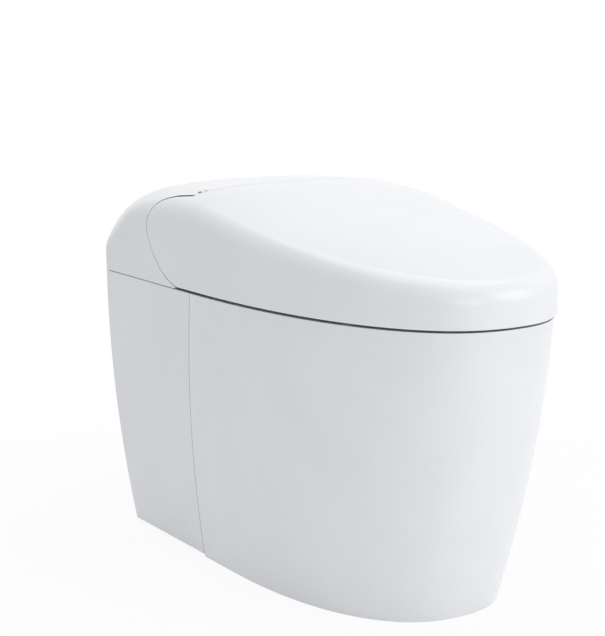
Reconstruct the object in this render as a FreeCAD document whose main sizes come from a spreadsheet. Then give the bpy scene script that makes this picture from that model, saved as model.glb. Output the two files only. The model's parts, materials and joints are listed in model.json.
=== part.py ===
import FreeCAD, Part
import Sketcher
import math
import os
import re

V = FreeCAD.Vector

# Millimetres and degrees. X is sideways, -Y the front, +Z up; the origin is on the floor, under the middle.
SIZES = {
    # outer form
    "body_length": 700, "lid_overhang": 5, "half_width": 195, "rim_height": 386,
    "plan_power": 2.36, "rim_straight": 109, "skirt_bulge": 0.49, "side_bulge": 1.0,
    "floor_half_width": 157, "floor_nose_reach": 255, "floor_straight": 63,
    "crown_back": 500.5, "crown_end": 511, "crown_bend": 518, "crown_rear": 521, "crown_hinge": 520.5,
    "crown_middle": 505, "crown_front": 486.5, "crown_slope": 467.5, "crown_nose": 443.5, "crown_drop": 10,
    "roll_back": 70, "roll_end": 40, "roll_bend": 25, "roll_rear": 18, "roll": 14, "roll_power": 6,
    "shoulder": 30, "lid_edge": 3, "back_round": 4,
    # seams
    "lid_gap": 3, "casing_gap": 1.2, "seam_gap": 1.5, "top_seam": 138, "panel_seam_top": 95,
    "panel_seam_bottom": 136.5, "panel_floor_gap": 4,
    # hinge line and the lid's cheeks
    "hinge_depth": 110, "hinge_height": 502, "cheek_radius": 114, "cheek_half_gap": 157.5,
    "cheek_back": 213.5, "cheek_arc_height": 452, "shaft_radius": 4, "running_fit": 0.05, "shaft_end": 123,
    "shaft_start": 62, "hub_radius": 9, "hub_start": 95, "hub_width": 12, "knuckle_start": 109,
    "knuckle_width": 12,
    # ceramic
    "china_wall": 11, "rim_depth": 12, "bowl_half_width": 130, "bowl_half_length": 190, "bowl_centre": -128,
    "bowl_wall": 9, "sump_height": 118, "trap_bore": 24, "trap_wall": 9, "trap_bend": 34,
    "outlet_depth": 57.5, "trap_crest": 250, "deck_back": 332, "deck_depth": 20, "frame_wall": 10,
    "frame_half_gap": 108, "foot_width": 26, "foot_depth": 60, "foot_height": 14, "floor_hole": 6,
    "floor_hole_depth": 230,
    # shells
    "casing_wall": 3, "lid_wall": 3.2, "liner_wall": 2.5, "panel_wall": 3, "panel_return": 70,
    "nose_half_width": 92, "nose_front": 68, "nose_height": 460, "barrel_radius": 11.8, "neck_front": 97,
    # seat
    "seat_inset": 8, "seat_gap": 5.5, "seat_back": 62, "seat_front_height": 424, "seat_back_height": 438,
    "seat_wall": 3, "seat_round": 14, "seat_hole_half_width": 108, "seat_hole_half_length": 146,
    "seat_hole_centre": -136, "tunnel_half_width": 80, "tunnel_height": 418, "tunnel_front": 5,
    "heater_thickness": 1, "buffer_radius": 9, "buffer_side": 136, "buffer_front": -200, "buffer_rear": 20,
    "touch_gap": 0.3, "lid_buffer_radius": 7, "lid_buffer_side": 122, "liner_front_height": 436,
    "liner_back_height": 450,
    # spray wand
    "wand_slope": 25, "wand_radius": 7, "wand_length": 150, "wand_front": 72, "wand_height": 400,
    "wand_travel": 110, "guide_half_width": 12, "guide_length": 136, "guide_clearance": 0.3,
    "pinion_module": 0.8, "pinion_teeth": 15, "pinion_place": 34, "tooth_root_share": 0.46,
    "tooth_tip_share": 0.18, "tooth_addendum": 0.75, "tooth_dedendum": 1.05, "rack_half_width": 3,
    "pinion_width": 5, "cap_length": 14, "wand_bore": 2.5,
    # base plate and what stands on it
    "plate_thickness": 2.2, "plate_front": 80, "plate_back": 332, "plate_half_width": 148,
    "heater_radius": 22, "heater_length": 105, "heater_side": -118, "heater_front": 222,
    "valve_width": 40, "valve_depth": 46, "valve_height": 34, "valve_side": -100, "valve_front": 158,
    "fan_radius": 32, "fan_width": 30, "fan_wall": 2, "fan_side": 62, "fan_depth": 186, "fan_gap": 1.5,
    "fan_motor_radius": 13, "fan_motor_length": 22, "blade_count": 18, "duct_width": 26, "duct_height": 14,
    "flap_width": 32, "flap_height": 18, "flap_top": 414, "flap_thickness": 2, "flap_side": 50,
    "supply_width": 96, "supply_depth": 60, "supply_height": 36, "supply_side": 30, "supply_front": 262,
    "board_width": 110, "board_depth": 76, "board_thickness": 1.6, "tray_height": 12, "tray_wall": 2,
    "odour_radius": 22, "odour_height": 22, "odour_side": -58, "odour_depth": 112, "cartridge_height": 18,
    "gland_side": 120, "gland_height": 408, "gland_radius": 8, "cord_bore": 3.6, "gland_length": 16,
    # flushing
    "tank_left": -44, "tank_front": 196, "tank_back": 322, "tank_bottom": 100, "tank_top": 352,
    "tank_wall": 3, "pump_radius": 34, "pump_height": 84, "pump_side": 50, "pump_depth": 262,
    "hose_radius": 9, "hose_bore": 6.5, "inlet_side": -70, "inlet_height": 120, "inlet_radius": 10.5,
    "inlet_end": 345, "valve_body": 34, "seal_height": 12, "cover_thickness": 2.5,
    "cover_bottom": 18, "cover_top": 372,
    # controls and trim
    "holder_length": 66, "holder_height": 20, "holder_depth": 14, "button_place": 262, "button_height": 438,
    "button_radius": 6.5, "button_pitch": 30, "button_travel": 1.8, "button_sunk": 0.3,
    "window_side": -148, "window_depth": 145, "window_radius": 3, "lamp_side": -139, "screw_radius": 2.5,
    "screw_side": 135, "clip_size": 12, "clip_pitch": 60, "clip_first": 170, "outlet_seal_width": 13,
}

doc = FreeCAD.newDocument("SmartToilet")
sheet = doc.addObject("Spreadsheet::Sheet", "Sizes")
for row, (alias, value) in enumerate(SIZES.items(), 1):
    sheet.set("A%d" % row, alias)
    sheet.set("B%d" % row, str(value))
    sheet.setAlias("B%d" % row, alias)
doc.recompute()


class Cells:
    """The sizes as the sheet holds them."""

    def __getattr__(self, alias):
        return float(sheet.get(alias))


S = Cells()
pieces = []


# ---------- helpers ----------

def formula(text):
    """Point each size that a formula names at its cell."""
    def cell(word):
        return "Sizes." + word.group() if word.group() in SIZES else word.group()
    return re.sub(r"[a-z_]+", cell, str(text))


def bind(obj, **formulas):
    """Tie an object's properties to the sheet; two underscores stand for a dot."""
    for name, text in formulas.items():
        obj.setExpression(name.replace("__", "."), formula(text))
    return obj


def place(obj, x="0", y="0", z="0"):
    return bind(obj, Placement__Base__x=x, Placement__Base__y=y, Placement__Base__z=z)


def box(name, x, y, z):
    """A block between a low and a high formula on each axis."""
    obj = doc.addObject("Part::Box", name)
    bind(obj, Length="(%s)-(%s)" % (x[1], x[0]), Width="(%s)-(%s)" % (y[1], y[0]),
         Height="(%s)-(%s)" % (z[1], z[0]))
    return place(obj, x[0], y[0], z[0])


TURNS = {"X": (V(0, 1, 0), 90), "Y": (V(1, 0, 0), -90), "Z": (V(0, 0, 1), 0)}


def cylinder(name, along, radius, length, x, y, z):
    """A round bar from the point x, y, z along a positive axis."""
    obj = doc.addObject("Part::Cylinder", name)
    obj.Placement.Rotation = FreeCAD.Rotation(*TURNS[along])
    bind(obj, Radius=radius, Height=length)
    return place(obj, x, y, z)


def fuse(name, *parts):
    obj = doc.addObject("Part::MultiFuse", name)
    obj.Shapes = list(parts)
    return obj


def cut(name, base, *tools):
    obj = doc.addObject("Part::Cut", name)
    obj.Base = base
    obj.Tool = tools[0] if len(tools) == 1 else fuse(name + "_tools", *tools)
    return obj


def mirror(name, source):
    obj = doc.addObject("Part::Mirroring", name)
    obj.Source = source
    obj.Normal = (1, 0, 0)
    return obj


def feature(name, shape):
    obj = doc.addObject("Part::Feature", name)
    obj.Shape = shape
    return obj


def piece(label, obj):
    """Name a finished sub-part."""
    obj.Label = label
    pieces.append(obj)
    return obj


def origin_plane(body, role):
    return [item for item in body.Origin.OriginFeatures if item.Role == role][0]


def sketch_on(body, role, name, offset="0"):
    sketch = body.newObject("Sketcher::SketchObject", name)
    sketch.AttachmentSupport = [(origin_plane(body, role), "")]
    sketch.MapMode = "FlatFace"
    bind(sketch, AttachmentOffset__Base__z=offset)
    return sketch


def pin_down(sketch, kind, first, first_point, second, second_point, text):
    index = sketch.addConstraint(Sketcher.Constraint(kind, first, first_point, second, second_point, 1.0))
    sketch.setExpression("Constraints[%d]" % index, formula(text))


def rectangle(sketch, x0, x1, y0, y1):
    """Four lines whose low and high corners are tied to formulas from the sketch's origin."""
    corners = [V(1, 1, 0), V(2, 1, 0), V(2, 2, 0), V(1, 2, 0)]
    first = sketch.GeometryCount
    for index in range(4):
        sketch.addGeometry(Part.LineSegment(corners[index], corners[(index + 1) % 4]), False)
    for index in range(4):
        sketch.addConstraint(Sketcher.Constraint("Coincident", first + index, 2, first + (index + 1) % 4, 1))
    for index, kind in enumerate(("Horizontal", "Vertical", "Horizontal", "Vertical")):
        sketch.addConstraint(Sketcher.Constraint(kind, first + index))
    pin_down(sketch, "DistanceX", -1, 1, first, 1, x0)
    pin_down(sketch, "DistanceY", -1, 1, first, 1, y0)
    pin_down(sketch, "DistanceX", -1, 1, first + 1, 2, x1)
    pin_down(sketch, "DistanceY", -1, 1, first + 1, 2, y1)


def circle(sketch, radius, x="0", y="0"):
    index = sketch.addGeometry(Part.Circle(V(1, 1, 0), V(0, 0, 1), 1), False)
    pin_down(sketch, "DistanceX", -1, 1, index, 3, x)
    pin_down(sketch, "DistanceY", -1, 1, index, 3, y)
    radius_index = sketch.addConstraint(Sketcher.Constraint("Radius", index, 1.0))
    sketch.setExpression("Constraints[%d]" % radius_index, formula(radius))


def pad(body, sketch, length):
    obj = body.newObject("PartDesign::Pad", sketch.Name + "_pad")
    obj.Profile = sketch
    bind(obj, Length=length)
    body.Tip = obj
    return obj


def pocket(body, sketch, length, reverse=False):
    obj = body.newObject("PartDesign::Pocket", sketch.Name + "_pocket")
    obj.Profile = sketch
    obj.Reversed = reverse
    bind(obj, Length=length)
    body.Tip = obj
    return obj


def mix(low, high, share):
    return low + (high - low) * share


def polygon_prism(points, x0, x1):
    """A prism along X with a straight-sided (y, z) outline."""
    wire = Part.makePolygon([V(x0, y, z) for y, z in points + points[:1]])
    return Part.Face(wire).extrude(V(x1 - x0, 0, 0))


def block(x0, x1, y0, y1, z0, z1):
    return Part.makeBox(x1 - x0, y1 - y0, z1 - z0, V(x0, y0, z0))


def rod(along, radius, length, x, y, z):
    direction = {"X": V(1, 0, 0), "Y": V(0, 1, 0), "Z": V(0, 0, 1)}[along]
    return Part.makeCylinder(radius, length, V(x, y, z), direction)


# ---------- the outer form that the shells share ----------

PLAN_STEPS = 16
SKIRT_RINGS = 5
CROWN_STEPS = 8
EDGE_SLACK = 0.5
FAR = 400.0


def plan_wire(half_width, nose, straight, back, power, height):
    """Level outline: straight sides at the back, and a superellipse round the nose."""
    points = []
    for step in range(PLAN_STEPS + 1):
        angle = math.pi * step / PLAN_STEPS
        across = -math.copysign(abs(math.cos(angle)) ** (2 / power), math.cos(angle)) * half_width
        points.append(V(across, straight - (straight - nose) * math.sin(angle) ** (2 / power), height))
    points[0] = V(-half_width, straight, height)
    points[-1] = V(half_width, straight, height)
    nose_curve = Part.BSplineCurve()
    nose_curve.interpolate(Points=points, InitialTangent=V(0, -1, 0), FinalTangent=V(0, 1, 0))
    right = V(half_width, back, height)
    left = V(-half_width, back, height)
    return Part.Wire([nose_curve.toShape(), Part.makeLine(points[-1], right), Part.makeLine(right, left),
                      Part.makeLine(left, points[0])])


def skirt_form(inset):
    """The lower body, which narrows to the floor along a full curve."""
    wires = []
    for ring in range(SKIRT_RINGS + 1):
        drop = ring / SKIRT_RINGS
        blend = drop - S.skirt_bulge * drop * (1 - drop)
        side_blend = drop - S.side_bulge * drop * (1 - drop)
        wires.append(plan_wire(mix(S.half_width, S.floor_half_width, side_blend) - inset,
                               -mix(S.body_length / 2 - S.lid_overhang, S.floor_nose_reach, blend) + inset,
                               mix(S.rim_straight, S.floor_straight, blend), S.body_length / 2 - inset,
                               S.plan_power, S.rim_height * (1 - drop)))
    sharp = Part.makeLoft(wires, True, False)
    back = S.body_length / 2 - inset - EDGE_SLACK
    corners = [edge for edge in sharp.Edges
               if edge.BoundBox.YMin > back and edge.BoundBox.ZLength > S.shoulder]
    return sharp.makeFillet(S.back_round, corners)


def crown_fall(across, roll):
    """How far the top has dropped at a distance from the middle."""
    share = abs(across) / S.half_width
    return S.crown_drop * share ** 2 + roll * share ** S.roll_power


def crown(inset, bottom):
    """Everything under the crowned top: a loft through one section for each station along the length.
    Towards the back the sections roll down more steeply beside the walls."""
    half = S.body_length / 2
    stations = [(1.06, S.crown_back - 3, S.roll_back), (1, S.crown_back, S.roll_back),
                (0.86, S.crown_end, S.roll_end), (0.72, S.crown_bend, S.roll_bend),
                (0.58, S.crown_rear, S.roll_rear), (0.29, S.crown_hinge, S.roll),
                (0, S.crown_middle, S.roll), (-0.29, S.crown_front, S.roll),
                (-0.58, S.crown_slope, S.roll), (-1, S.crown_nose, S.roll),
                (-1.06, S.crown_nose - 3, S.roll)]
    reach = S.half_width + 5
    wires = []
    for share, height, roll in stations:
        along = share * half
        points = []
        for step in range(-CROWN_STEPS, CROWN_STEPS + 1):
            across = reach * step / CROWN_STEPS
            points.append(V(across, along, height - inset - crown_fall(across, roll)))
        top = Part.BSplineCurve()
        top.interpolate(points)
        corners = [points[-1], V(reach, along, bottom), V(-reach, along, bottom), points[0]]
        sides = [Part.makeLine(a, b) for a, b in zip(corners, corners[1:])]
        wires.append(Part.Wire([top.toShape()] + sides))
    return Part.makeLoft(wires, True, False)


forms = {}


def upper_form(inset, bottom):
    """The closed form of lid and casing above the rim, made once for each inset and bottom."""
    key = (inset, bottom)
    if key not in forms:
        forms[key] = rounded_form(inset, bottom)
    return forms[key]


def rounded_form(inset, bottom):
    """A prism on the plan outline under the crown, with a rolled shoulder."""
    half = S.body_length / 2
    outline = plan_wire(S.half_width - inset, inset - half, S.rim_straight, half - inset, S.plan_power,
                        bottom)
    sharp = Part.Face(outline).extrude(V(0, 0, FAR)).common(crown(inset, bottom - 1)).removeSplitter()
    solid = sharp.Solids[0]
    back = half - inset - EDGE_SLACK
    edges = [edge for edge in solid.Edges
             if edge.BoundBox.ZMin > S.rim_height + 15 and edge.BoundBox.YMin < back]
    rolled = solid.makeFillet(S.shoulder - inset, edges)
    edges = [edge for edge in rolled.Edges
             if edge.BoundBox.YMin > back and edge.BoundBox.ZMax > bottom + EDGE_SLACK]
    return rolled.makeFillet(S.back_round - inset / 2, edges)



# ---------- the seam lines that part lid, casing and ceramic ----------

def hinge_rod(radius, x0, x1):
    return rod("X", radius, x1 - x0, x0, S.hinge_depth, S.hinge_height)


def both_sides(x0, x1, build):
    """The same cut on the right and on the left."""
    return build(x0, x1).fuse(build(-x1, -x0))


def cheek_profile(grow, x0, x1):
    """What belongs to a lid cheek: it swings about the hinge line and stops at a D-shaped rear edge."""
    reach = S.cheek_radius + grow
    high = S.cheek_arc_height - S.hinge_height
    corner = V(x0, S.hinge_depth + math.sqrt(reach ** 2 - high ** 2), S.cheek_arc_height)
    low = V(x0, S.hinge_depth, S.hinge_height - reach)
    middle_angle = (math.atan2(high, corner.y - S.hinge_depth) - math.pi / 2) / 2
    middle = V(x0, S.hinge_depth + reach * math.cos(middle_angle),
               S.hinge_height + reach * math.sin(middle_angle))
    tangent = V(0, -high, corner.y - S.hinge_depth)
    back = S.cheek_back + grow
    top = S.hinge_height + 7 + grow
    seam = V(x0, S.top_seam - S.seam_gap + grow, top + 1)
    bend = [corner, V(x0, back, S.hinge_height - 33), V(x0, back - 8, S.hinge_height - 17 + grow / 2),
            V(x0, back - 22, S.hinge_height - 3 + grow), V(x0, back - 42, S.hinge_height + 4 + grow), seam]
    curve = Part.BSplineCurve()
    curve.interpolate(Points=bend, InitialTangent=tangent.normalize(), FinalTangent=V(0, -1, 0.1))
    around = [seam, V(x0, seam.y, FAR * 2), V(x0, -FAR, FAR * 2), V(x0, -FAR, low.z), low]
    edges = [Part.Arc(low, middle, corner).toShape(), curve.toShape()]
    edges += [Part.makeLine(start, end) for start, end in zip(around, around[1:])]
    return Part.Face(Part.Wire(edges)).extrude(V(x1 - x0, 0, 0))


def lid_region():
    """The space that the lid may fill: all in front of the top seam, and the two cheeks at the sides."""
    inner = S.cheek_half_gap + 2.5
    middle = block(-inner, inner, -FAR, S.top_seam - S.seam_gap, 0, 2 * FAR)
    return middle.fuse(both_sides(inner, FAR, lambda x0, x1: cheek_profile(0, x0, x1)))


def seam_swing(grow):
    """What the lid's rear edge sweeps: the crowned top seam turned about the hinge line."""
    reach = S.half_width + 10
    rim = []
    for step in range(-4, 5):
        across = reach * step / 4
        rise = S.crown_hinge + 1 - S.hinge_height - crown_fall(across, S.roll)
        radius = math.hypot(S.top_seam - S.hinge_depth, rise) + grow
        rim.append(V(across, S.hinge_depth + radius, S.hinge_height))
    curve = Part.BSplineCurve()
    curve.interpolate(rim)
    ends = [V(reach, S.hinge_depth, S.hinge_height), V(-reach, S.hinge_depth, S.hinge_height)]
    outline = Part.Wire([curve.toShape(), Part.makeLine(rim[-1], ends[0]), Part.makeLine(ends[0], ends[1]),
                         Part.makeLine(ends[1], rim[0])])
    return Part.Face(outline).revolve(ends[0], V(1, 0, 0), 360)


def casing_region(inset):
    """The space that the upper casing fills: the rear block, the nose under the lid and the hinge barrel."""
    rear = block(-FAR, FAR, S.top_seam + inset, FAR, 0, 2 * FAR)
    pockets = both_sides(S.cheek_half_gap - inset, FAR,
                         lambda x0, x1: cheek_profile(S.seam_gap + inset, x0, x1))
    side = S.nose_half_width - inset
    nose = block(-side, side, S.nose_front + inset, S.top_seam + 5, 0, S.nose_height - inset)
    recess = seam_swing(inset)
    barrel = hinge_rod(S.barrel_radius - inset, -side, side)
    neck = block(-side, side, S.neck_front + inset, S.hinge_depth + 2 - inset, S.nose_height - 20,
                 S.hinge_height)
    return rear.cut(pockets).fuse(nose).cut(recess).fuse(barrel).fuse(neck)


def front_of_seam(gap):
    """Everything in front of the slanted seam between ceramic and side panel."""
    slant = (S.panel_seam_bottom - S.panel_seam_top) / S.rim_height
    low = S.panel_seam_bottom + slant * 10 - gap
    high = S.panel_seam_top - slant * 14 - gap
    top = S.rim_height + 14
    return polygon_prism([(-FAR, -10), (low, -10), (high, top), (-FAR, top)], -FAR, FAR)


# ---------- ceramic ----------

def bowl_form(grow):
    """The basin: a loft through level ellipses that shrink and drift back towards the sump."""
    depth = S.rim_height - S.sump_height
    wires = []
    for share, wide, long, drift in ((-0.04, 1, 1, 0), (0.14, 1, 0.98, 4), (0.45, 0.86, 0.8, 20),
                                     (0.72, 0.56, 0.52, 46), (0.9, 0.33, 0.3, 66), (1, 0.25, 0.2, 74)):
        half_wide = S.bowl_half_width * wide + grow
        half_long = S.bowl_half_length * long + grow
        height = S.rim_height - share * depth - (grow if share == 1 else 0)
        middle = V(0, S.bowl_centre + drift, height)
        ellipse = Part.Ellipse(middle + V(0, half_long, 0), middle + V(half_wide, 0, 0), middle)
        wires.append(Part.Wire([ellipse.toShape()]))
    return Part.makeLoft(wires, True, False)


def bent_tube(points, bend, radius):
    """A round tube form along straight runs joined by tangent arcs."""
    edges = []
    start = points[0]
    for before, corner, after in zip(points, points[1:], points[2:]):
        into = (corner - before).normalize()
        out = (after - corner).normalize()
        half_turn = into.getAngle(out) / 2
        tangent = bend * math.tan(half_turn)
        arc_start = corner - into * tangent
        arc_end = corner + out * tangent
        sag = bend / math.cos(half_turn) - bend
        middle = corner + (out - into).normalize() * sag
        edges.append(Part.makeLine(start, arc_start))
        edges.append(Part.Arc(arc_start, middle, arc_end).toShape())
        start = arc_end
    edges.append(Part.makeLine(start, points[-1]))
    path = Part.Wire(edges)
    profile = Part.Wire([Part.Circle(points[0], points[1] - points[0], radius).toShape()])
    return path.makePipeShell([profile], True, False)


def trap_form(radius, past=0):
    """The trapway: up from the sump, over the crest and down to the floor outlet."""
    sump = V(0, S.bowl_centre + 78, S.sump_height + 14)
    points = [sump, V(0, 0, S.trap_crest), V(0, S.outlet_depth, S.trap_crest), V(0, S.outlet_depth, -past)]
    return bent_tube(points, S.trap_bend, radius)


def ceramic_body():
    shell = skirt_form(0).common(front_of_seam(S.seam_gap))
    hollow = skirt_form(S.china_wall).common(front_of_seam(S.seam_gap + S.china_wall))
    hollow = hollow.common(block(-FAR, FAR, -FAR, FAR, -20, S.rim_height - S.rim_depth))
    basin = bowl_form(S.bowl_wall).common(block(-FAR, FAR, -FAR, FAR, 0, S.rim_height))
    body = shell.cut(hollow).fuse(basin).fuse(trap_form(S.trap_bore + S.trap_wall))
    deck = skirt_form(S.panel_wall + S.touch_gap).common(block(
        -FAR, FAR, S.panel_seam_top - 20, S.deck_back, S.rim_height - S.deck_depth, S.rim_height))
    walls = both_sides(S.frame_half_gap, S.frame_half_gap + S.frame_wall, lambda x0, x1: block(
        x0, x1, S.panel_seam_top - 5, S.deck_back, 0, S.rim_height - S.deck_depth + 1))
    foot_front = S.floor_hole_depth - S.foot_depth / 2
    feet = both_sides(S.frame_half_gap + 1, S.frame_half_gap + S.frame_wall + S.foot_width,
                      lambda x0, x1: block(x0, x1, foot_front, foot_front + S.foot_depth, 0, S.foot_height))
    behind = block(-FAR, FAR, -FAR, FAR, -1, FAR).cut(hollow_front(S.china_wall))
    body = body.fuse(deck.fuse(walls).common(behind)).fuse(feet)
    for side in (-1, 1):
        hole = rod("Z", S.floor_hole, S.foot_height + 2, side * floor_hole_side(), S.floor_hole_depth, -1)
        body = body.cut(hole)
    for x, y in screw_places():
        body = body.cut(rod("Z", S.screw_radius, screw_length(), x, y, S.rim_height - screw_length() + 1))
    return body.cut(bowl_form(0)).cut(trap_form(S.trap_bore, 5)).cut(ceramic_ports()).removeSplitter()


def hollow_front(wall):
    under = block(-FAR, FAR, -FAR, FAR, -20, S.rim_height - S.rim_depth)
    return front_of_seam(S.seam_gap + wall).common(under)


def screw_places():
    return [(side * S.screw_side, y) for side in (-1, 1) for y in (S.top_seam + 8, S.plate_back - 12)]


def screw_length():
    return 0.6 * S.deck_depth


def floor_hole_side():
    return S.frame_half_gap + S.frame_wall + S.foot_width / 2


def inlet_back():
    return S.deck_back - S.valve_body / 2 - 18


def ceramic_ports():
    """Where the two flush hoses go through the ceramic, and the tip of the basin's jet."""
    way_in = rod("Y", S.hose_radius - 1.7, 24, S.inlet_side, rim_hose_end() - 20, S.rim_height - 51)
    return hose_run("jet", S.hose_radius + 0.3).fuse(hose_run("rim", S.hose_radius + 0.3)).fuse(way_in)


def hose_run(kind, radius):
    """The two flush hoses: from the pump or valve forward to the sump, and up to the rim."""
    if kind == "jet":
        low = S.tank_bottom - S.pump_height + 1.5 * S.hose_radius
        points = [V(S.pump_side, S.pump_depth - S.pump_radius, low), V(S.pump_side, -10, low),
                  V(S.pump_side - 19, S.bowl_centre + 72, S.sump_height)]
        return bent_tube(points, 3 * S.hose_radius, radius)
    points = [V(S.inlet_side, inlet_back(), S.inlet_height + S.valve_body / 2),
              V(S.inlet_side, inlet_back(), S.rim_height - 80),
              V(S.inlet_side, rim_hose_end(), S.rim_height - 50)]
    return bent_tube(points, 3 * S.hose_radius, radius)


def rim_hose_end():
    return S.bowl_centre + 0.87 * S.bowl_half_length


# ---------- outer shells ----------

def side_panel():
    """Left side panel: a thin skin of the lower form, turned in at the back."""
    outer = skirt_form(0).cut(skirt_form(S.panel_wall))
    space = block(-FAR, -S.half_width + S.panel_return, -FAR, FAR, S.panel_floor_gap, S.rim_height)
    return outer.common(space).cut(front_of_seam(0))


def lid_shell():
    form = upper_form(0, S.rim_height + S.lid_gap)
    lip = [edge for edge in form.Edges if edge.BoundBox.ZMax < S.rim_height + S.lid_gap + EDGE_SLACK]
    outer = form.makeFillet(S.lid_edge, lip).common(lid_region())
    shell = outer.cut(upper_form(S.lid_wall, S.rim_height - 30))
    roof = upper_form(S.lid_wall, S.rim_height - 30)
    for side in (-1, 1):
        start = S.knuckle_start if side > 0 else -S.knuckle_start - S.knuckle_width
        half = S.hub_radius - 1.5
        stem = block(start, start + S.knuckle_width, S.hinge_depth - half, S.hinge_depth + half,
                     S.hinge_height, S.hinge_height + 60).common(roof)
        stem = stem.fuse(outer.common(block(start, start + S.knuckle_width, S.hinge_depth - half,
                                            S.hinge_depth + half, S.hinge_height, S.hinge_height + 60)))
        knuckle = hinge_rod(S.hub_radius, start, start + S.knuckle_width)
        shell = shell.fuse(stem).fuse(knuckle)
    return shell.cut(hinge_rod(S.shaft_radius + S.running_fit, -S.shaft_end - 5, S.shaft_end + 5))


def liner_space(drop):
    """Side outline of the room above the seat that the lid's liner closes off."""
    half = S.body_length / 2
    step = S.seat_back - 22
    rear = S.hinge_depth - 32
    points = [(-half - 20, 0), (-half - 20, S.liner_front_height - drop), (step, S.liner_back_height - drop),
              (S.seat_back - 4, S.hinge_height - 16 - drop), (rear, S.hinge_height - 8 - drop), (rear, 0)]
    return polygon_prism(points, -FAR, FAR)


def lid_liner():
    bottom = S.rim_height + S.lid_gap + 1
    inset = S.lid_wall + 0.3
    inner = upper_form(inset + S.liner_wall, bottom - 20).common(liner_space(S.liner_wall))
    return upper_form(inset, bottom).common(liner_space(0)).cut(inner)


def casing_ports():
    """The holes in the upper casing: wand, dryer, shafts, gland, buttons, window and lamp."""
    half = S.body_length / 2
    holes = [wand_rod(S.wand_radius + 2, -30, 30),
             block(S.flap_side - S.duct_width / 2, S.flap_side + S.duct_width / 2, S.nose_front - 1,
                   S.nose_front + S.casing_wall + 1, duct_bottom(), duct_bottom() + S.duct_height),
             hinge_rod(S.shaft_radius + 0.5, -S.nose_half_width - 1, S.nose_half_width + 1).cut(
                 hinge_rod(S.shaft_radius + 2, -S.hub_start + 8, S.hub_start - 8)),
             rod("Y", S.gland_radius, S.gland_length, S.gland_side, half - S.gland_length + 1,
                 S.gland_height),
             block(night_side() - 8, night_side() + 8, S.nose_front - 1, S.nose_front + 4, lens_height() - 4,
                   lens_height() + 4)]
    for place_ in button_places():
        holes.append(rod("X", S.button_radius + 0.4, 30, S.half_width - 20, place_, S.button_height))
    for side, radius in ((S.window_side, S.window_radius), (S.lamp_side, S.window_radius)):
        holes.append(rod("Z", radius, 40, side, S.window_depth, S.hinge_height - 20))
    return Part.makeCompound(holes)


def night_side():
    return -S.flap_side


def lens_height():
    return S.rim_height + 26


def duct_bottom():
    return S.flap_top - S.flap_height / 2 - S.duct_height / 2


def button_places():
    return [S.button_place + side * S.button_pitch / 2 for side in (-1, 1)]


def upper_casing():
    outer = upper_form(0, S.rim_height + S.casing_gap).common(casing_region(0))
    inner = upper_form(S.casing_wall, S.rim_height - 30).common(casing_region(S.casing_wall))
    shell = outer.cut(inner)
    for low in flap_ears():
        shell = shell.fuse(block(low, low + 3, S.nose_front - 4, S.nose_front, S.flap_top - 3,
                                 S.flap_top + 3))
    side = S.plate_half_width + S.touch_gap
    plate_room = block(-side, side, S.plate_front - S.touch_gap, S.plate_back + S.touch_gap, 0,
                       S.rim_height + S.plate_thickness + S.touch_gap)
    return shell.cut(plate_room).cut(casing_ports()).cut(flap_axle(S.running_fit))


def flap_ears():
    """Low sides of the two ears that carry the dryer flap."""
    return [S.flap_side - S.flap_width / 2 - 3.5, S.flap_side + S.flap_width / 2 + 0.5]


def flap_axle(grow):
    low, high = flap_ears()
    return rod("X", 1.2 + grow, high + 3 - low, low, S.nose_front - 2, S.flap_top)


def dryer_flap():
    half = S.flap_width / 2
    leaf = block(S.flap_side - half, S.flap_side + half, S.nose_front - S.touch_gap - S.flap_thickness,
                 S.nose_front - S.touch_gap, S.flap_top - S.flap_height, S.flap_top)
    return leaf.fuse(flap_axle(0)).removeSplitter()


# ---------- seat ----------

def seat_form(inset, bottom):
    """The solid seat ring: rounded above, level below, with a tunnel over the wand at the back."""
    half = S.body_length / 2
    nose = S.lid_overhang + S.seat_inset + inset - half
    width = S.half_width - S.seat_inset - inset
    outline = plan_wire(width, nose, S.rim_straight, half, S.plan_power, bottom)
    back = S.seat_back - inset
    ring = Part.Face(outline).extrude(V(0, 0, FAR)).common(block(-FAR, FAR, -FAR, back, 0, 2 * FAR))
    tail = S.seat_back + 5
    ring = ring.common(polygon_prism([(nose - 5, 0), (nose - 5, S.seat_front_height - inset),
                                      (tail, S.seat_back_height - inset), (tail, 0)], -FAR, FAR))
    middle = V(0, S.seat_hole_centre, bottom - 1)
    hole_long = S.seat_hole_half_length + inset
    hole_wide = S.seat_hole_half_width + inset
    hole = Part.Ellipse(middle + V(0, hole_long, 0), middle + V(hole_wide, 0, 0), middle)
    ring = ring.cut(Part.Face(Part.Wire([hole.toShape()])).extrude(V(0, 0, FAR)))
    edges = [edge for edge in ring.Edges if edge.BoundBox.ZMin > S.seat_front_height - inset - 4]
    return ring.makeFillet(S.seat_round - inset, edges)


def seat_tunnel(grow):
    side = S.tunnel_half_width + grow
    return block(-side, side, S.tunnel_front - grow, S.seat_back + 20,
                 0, S.tunnel_height + grow)


def seat_bottom():
    return S.rim_height + S.seat_gap


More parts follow.
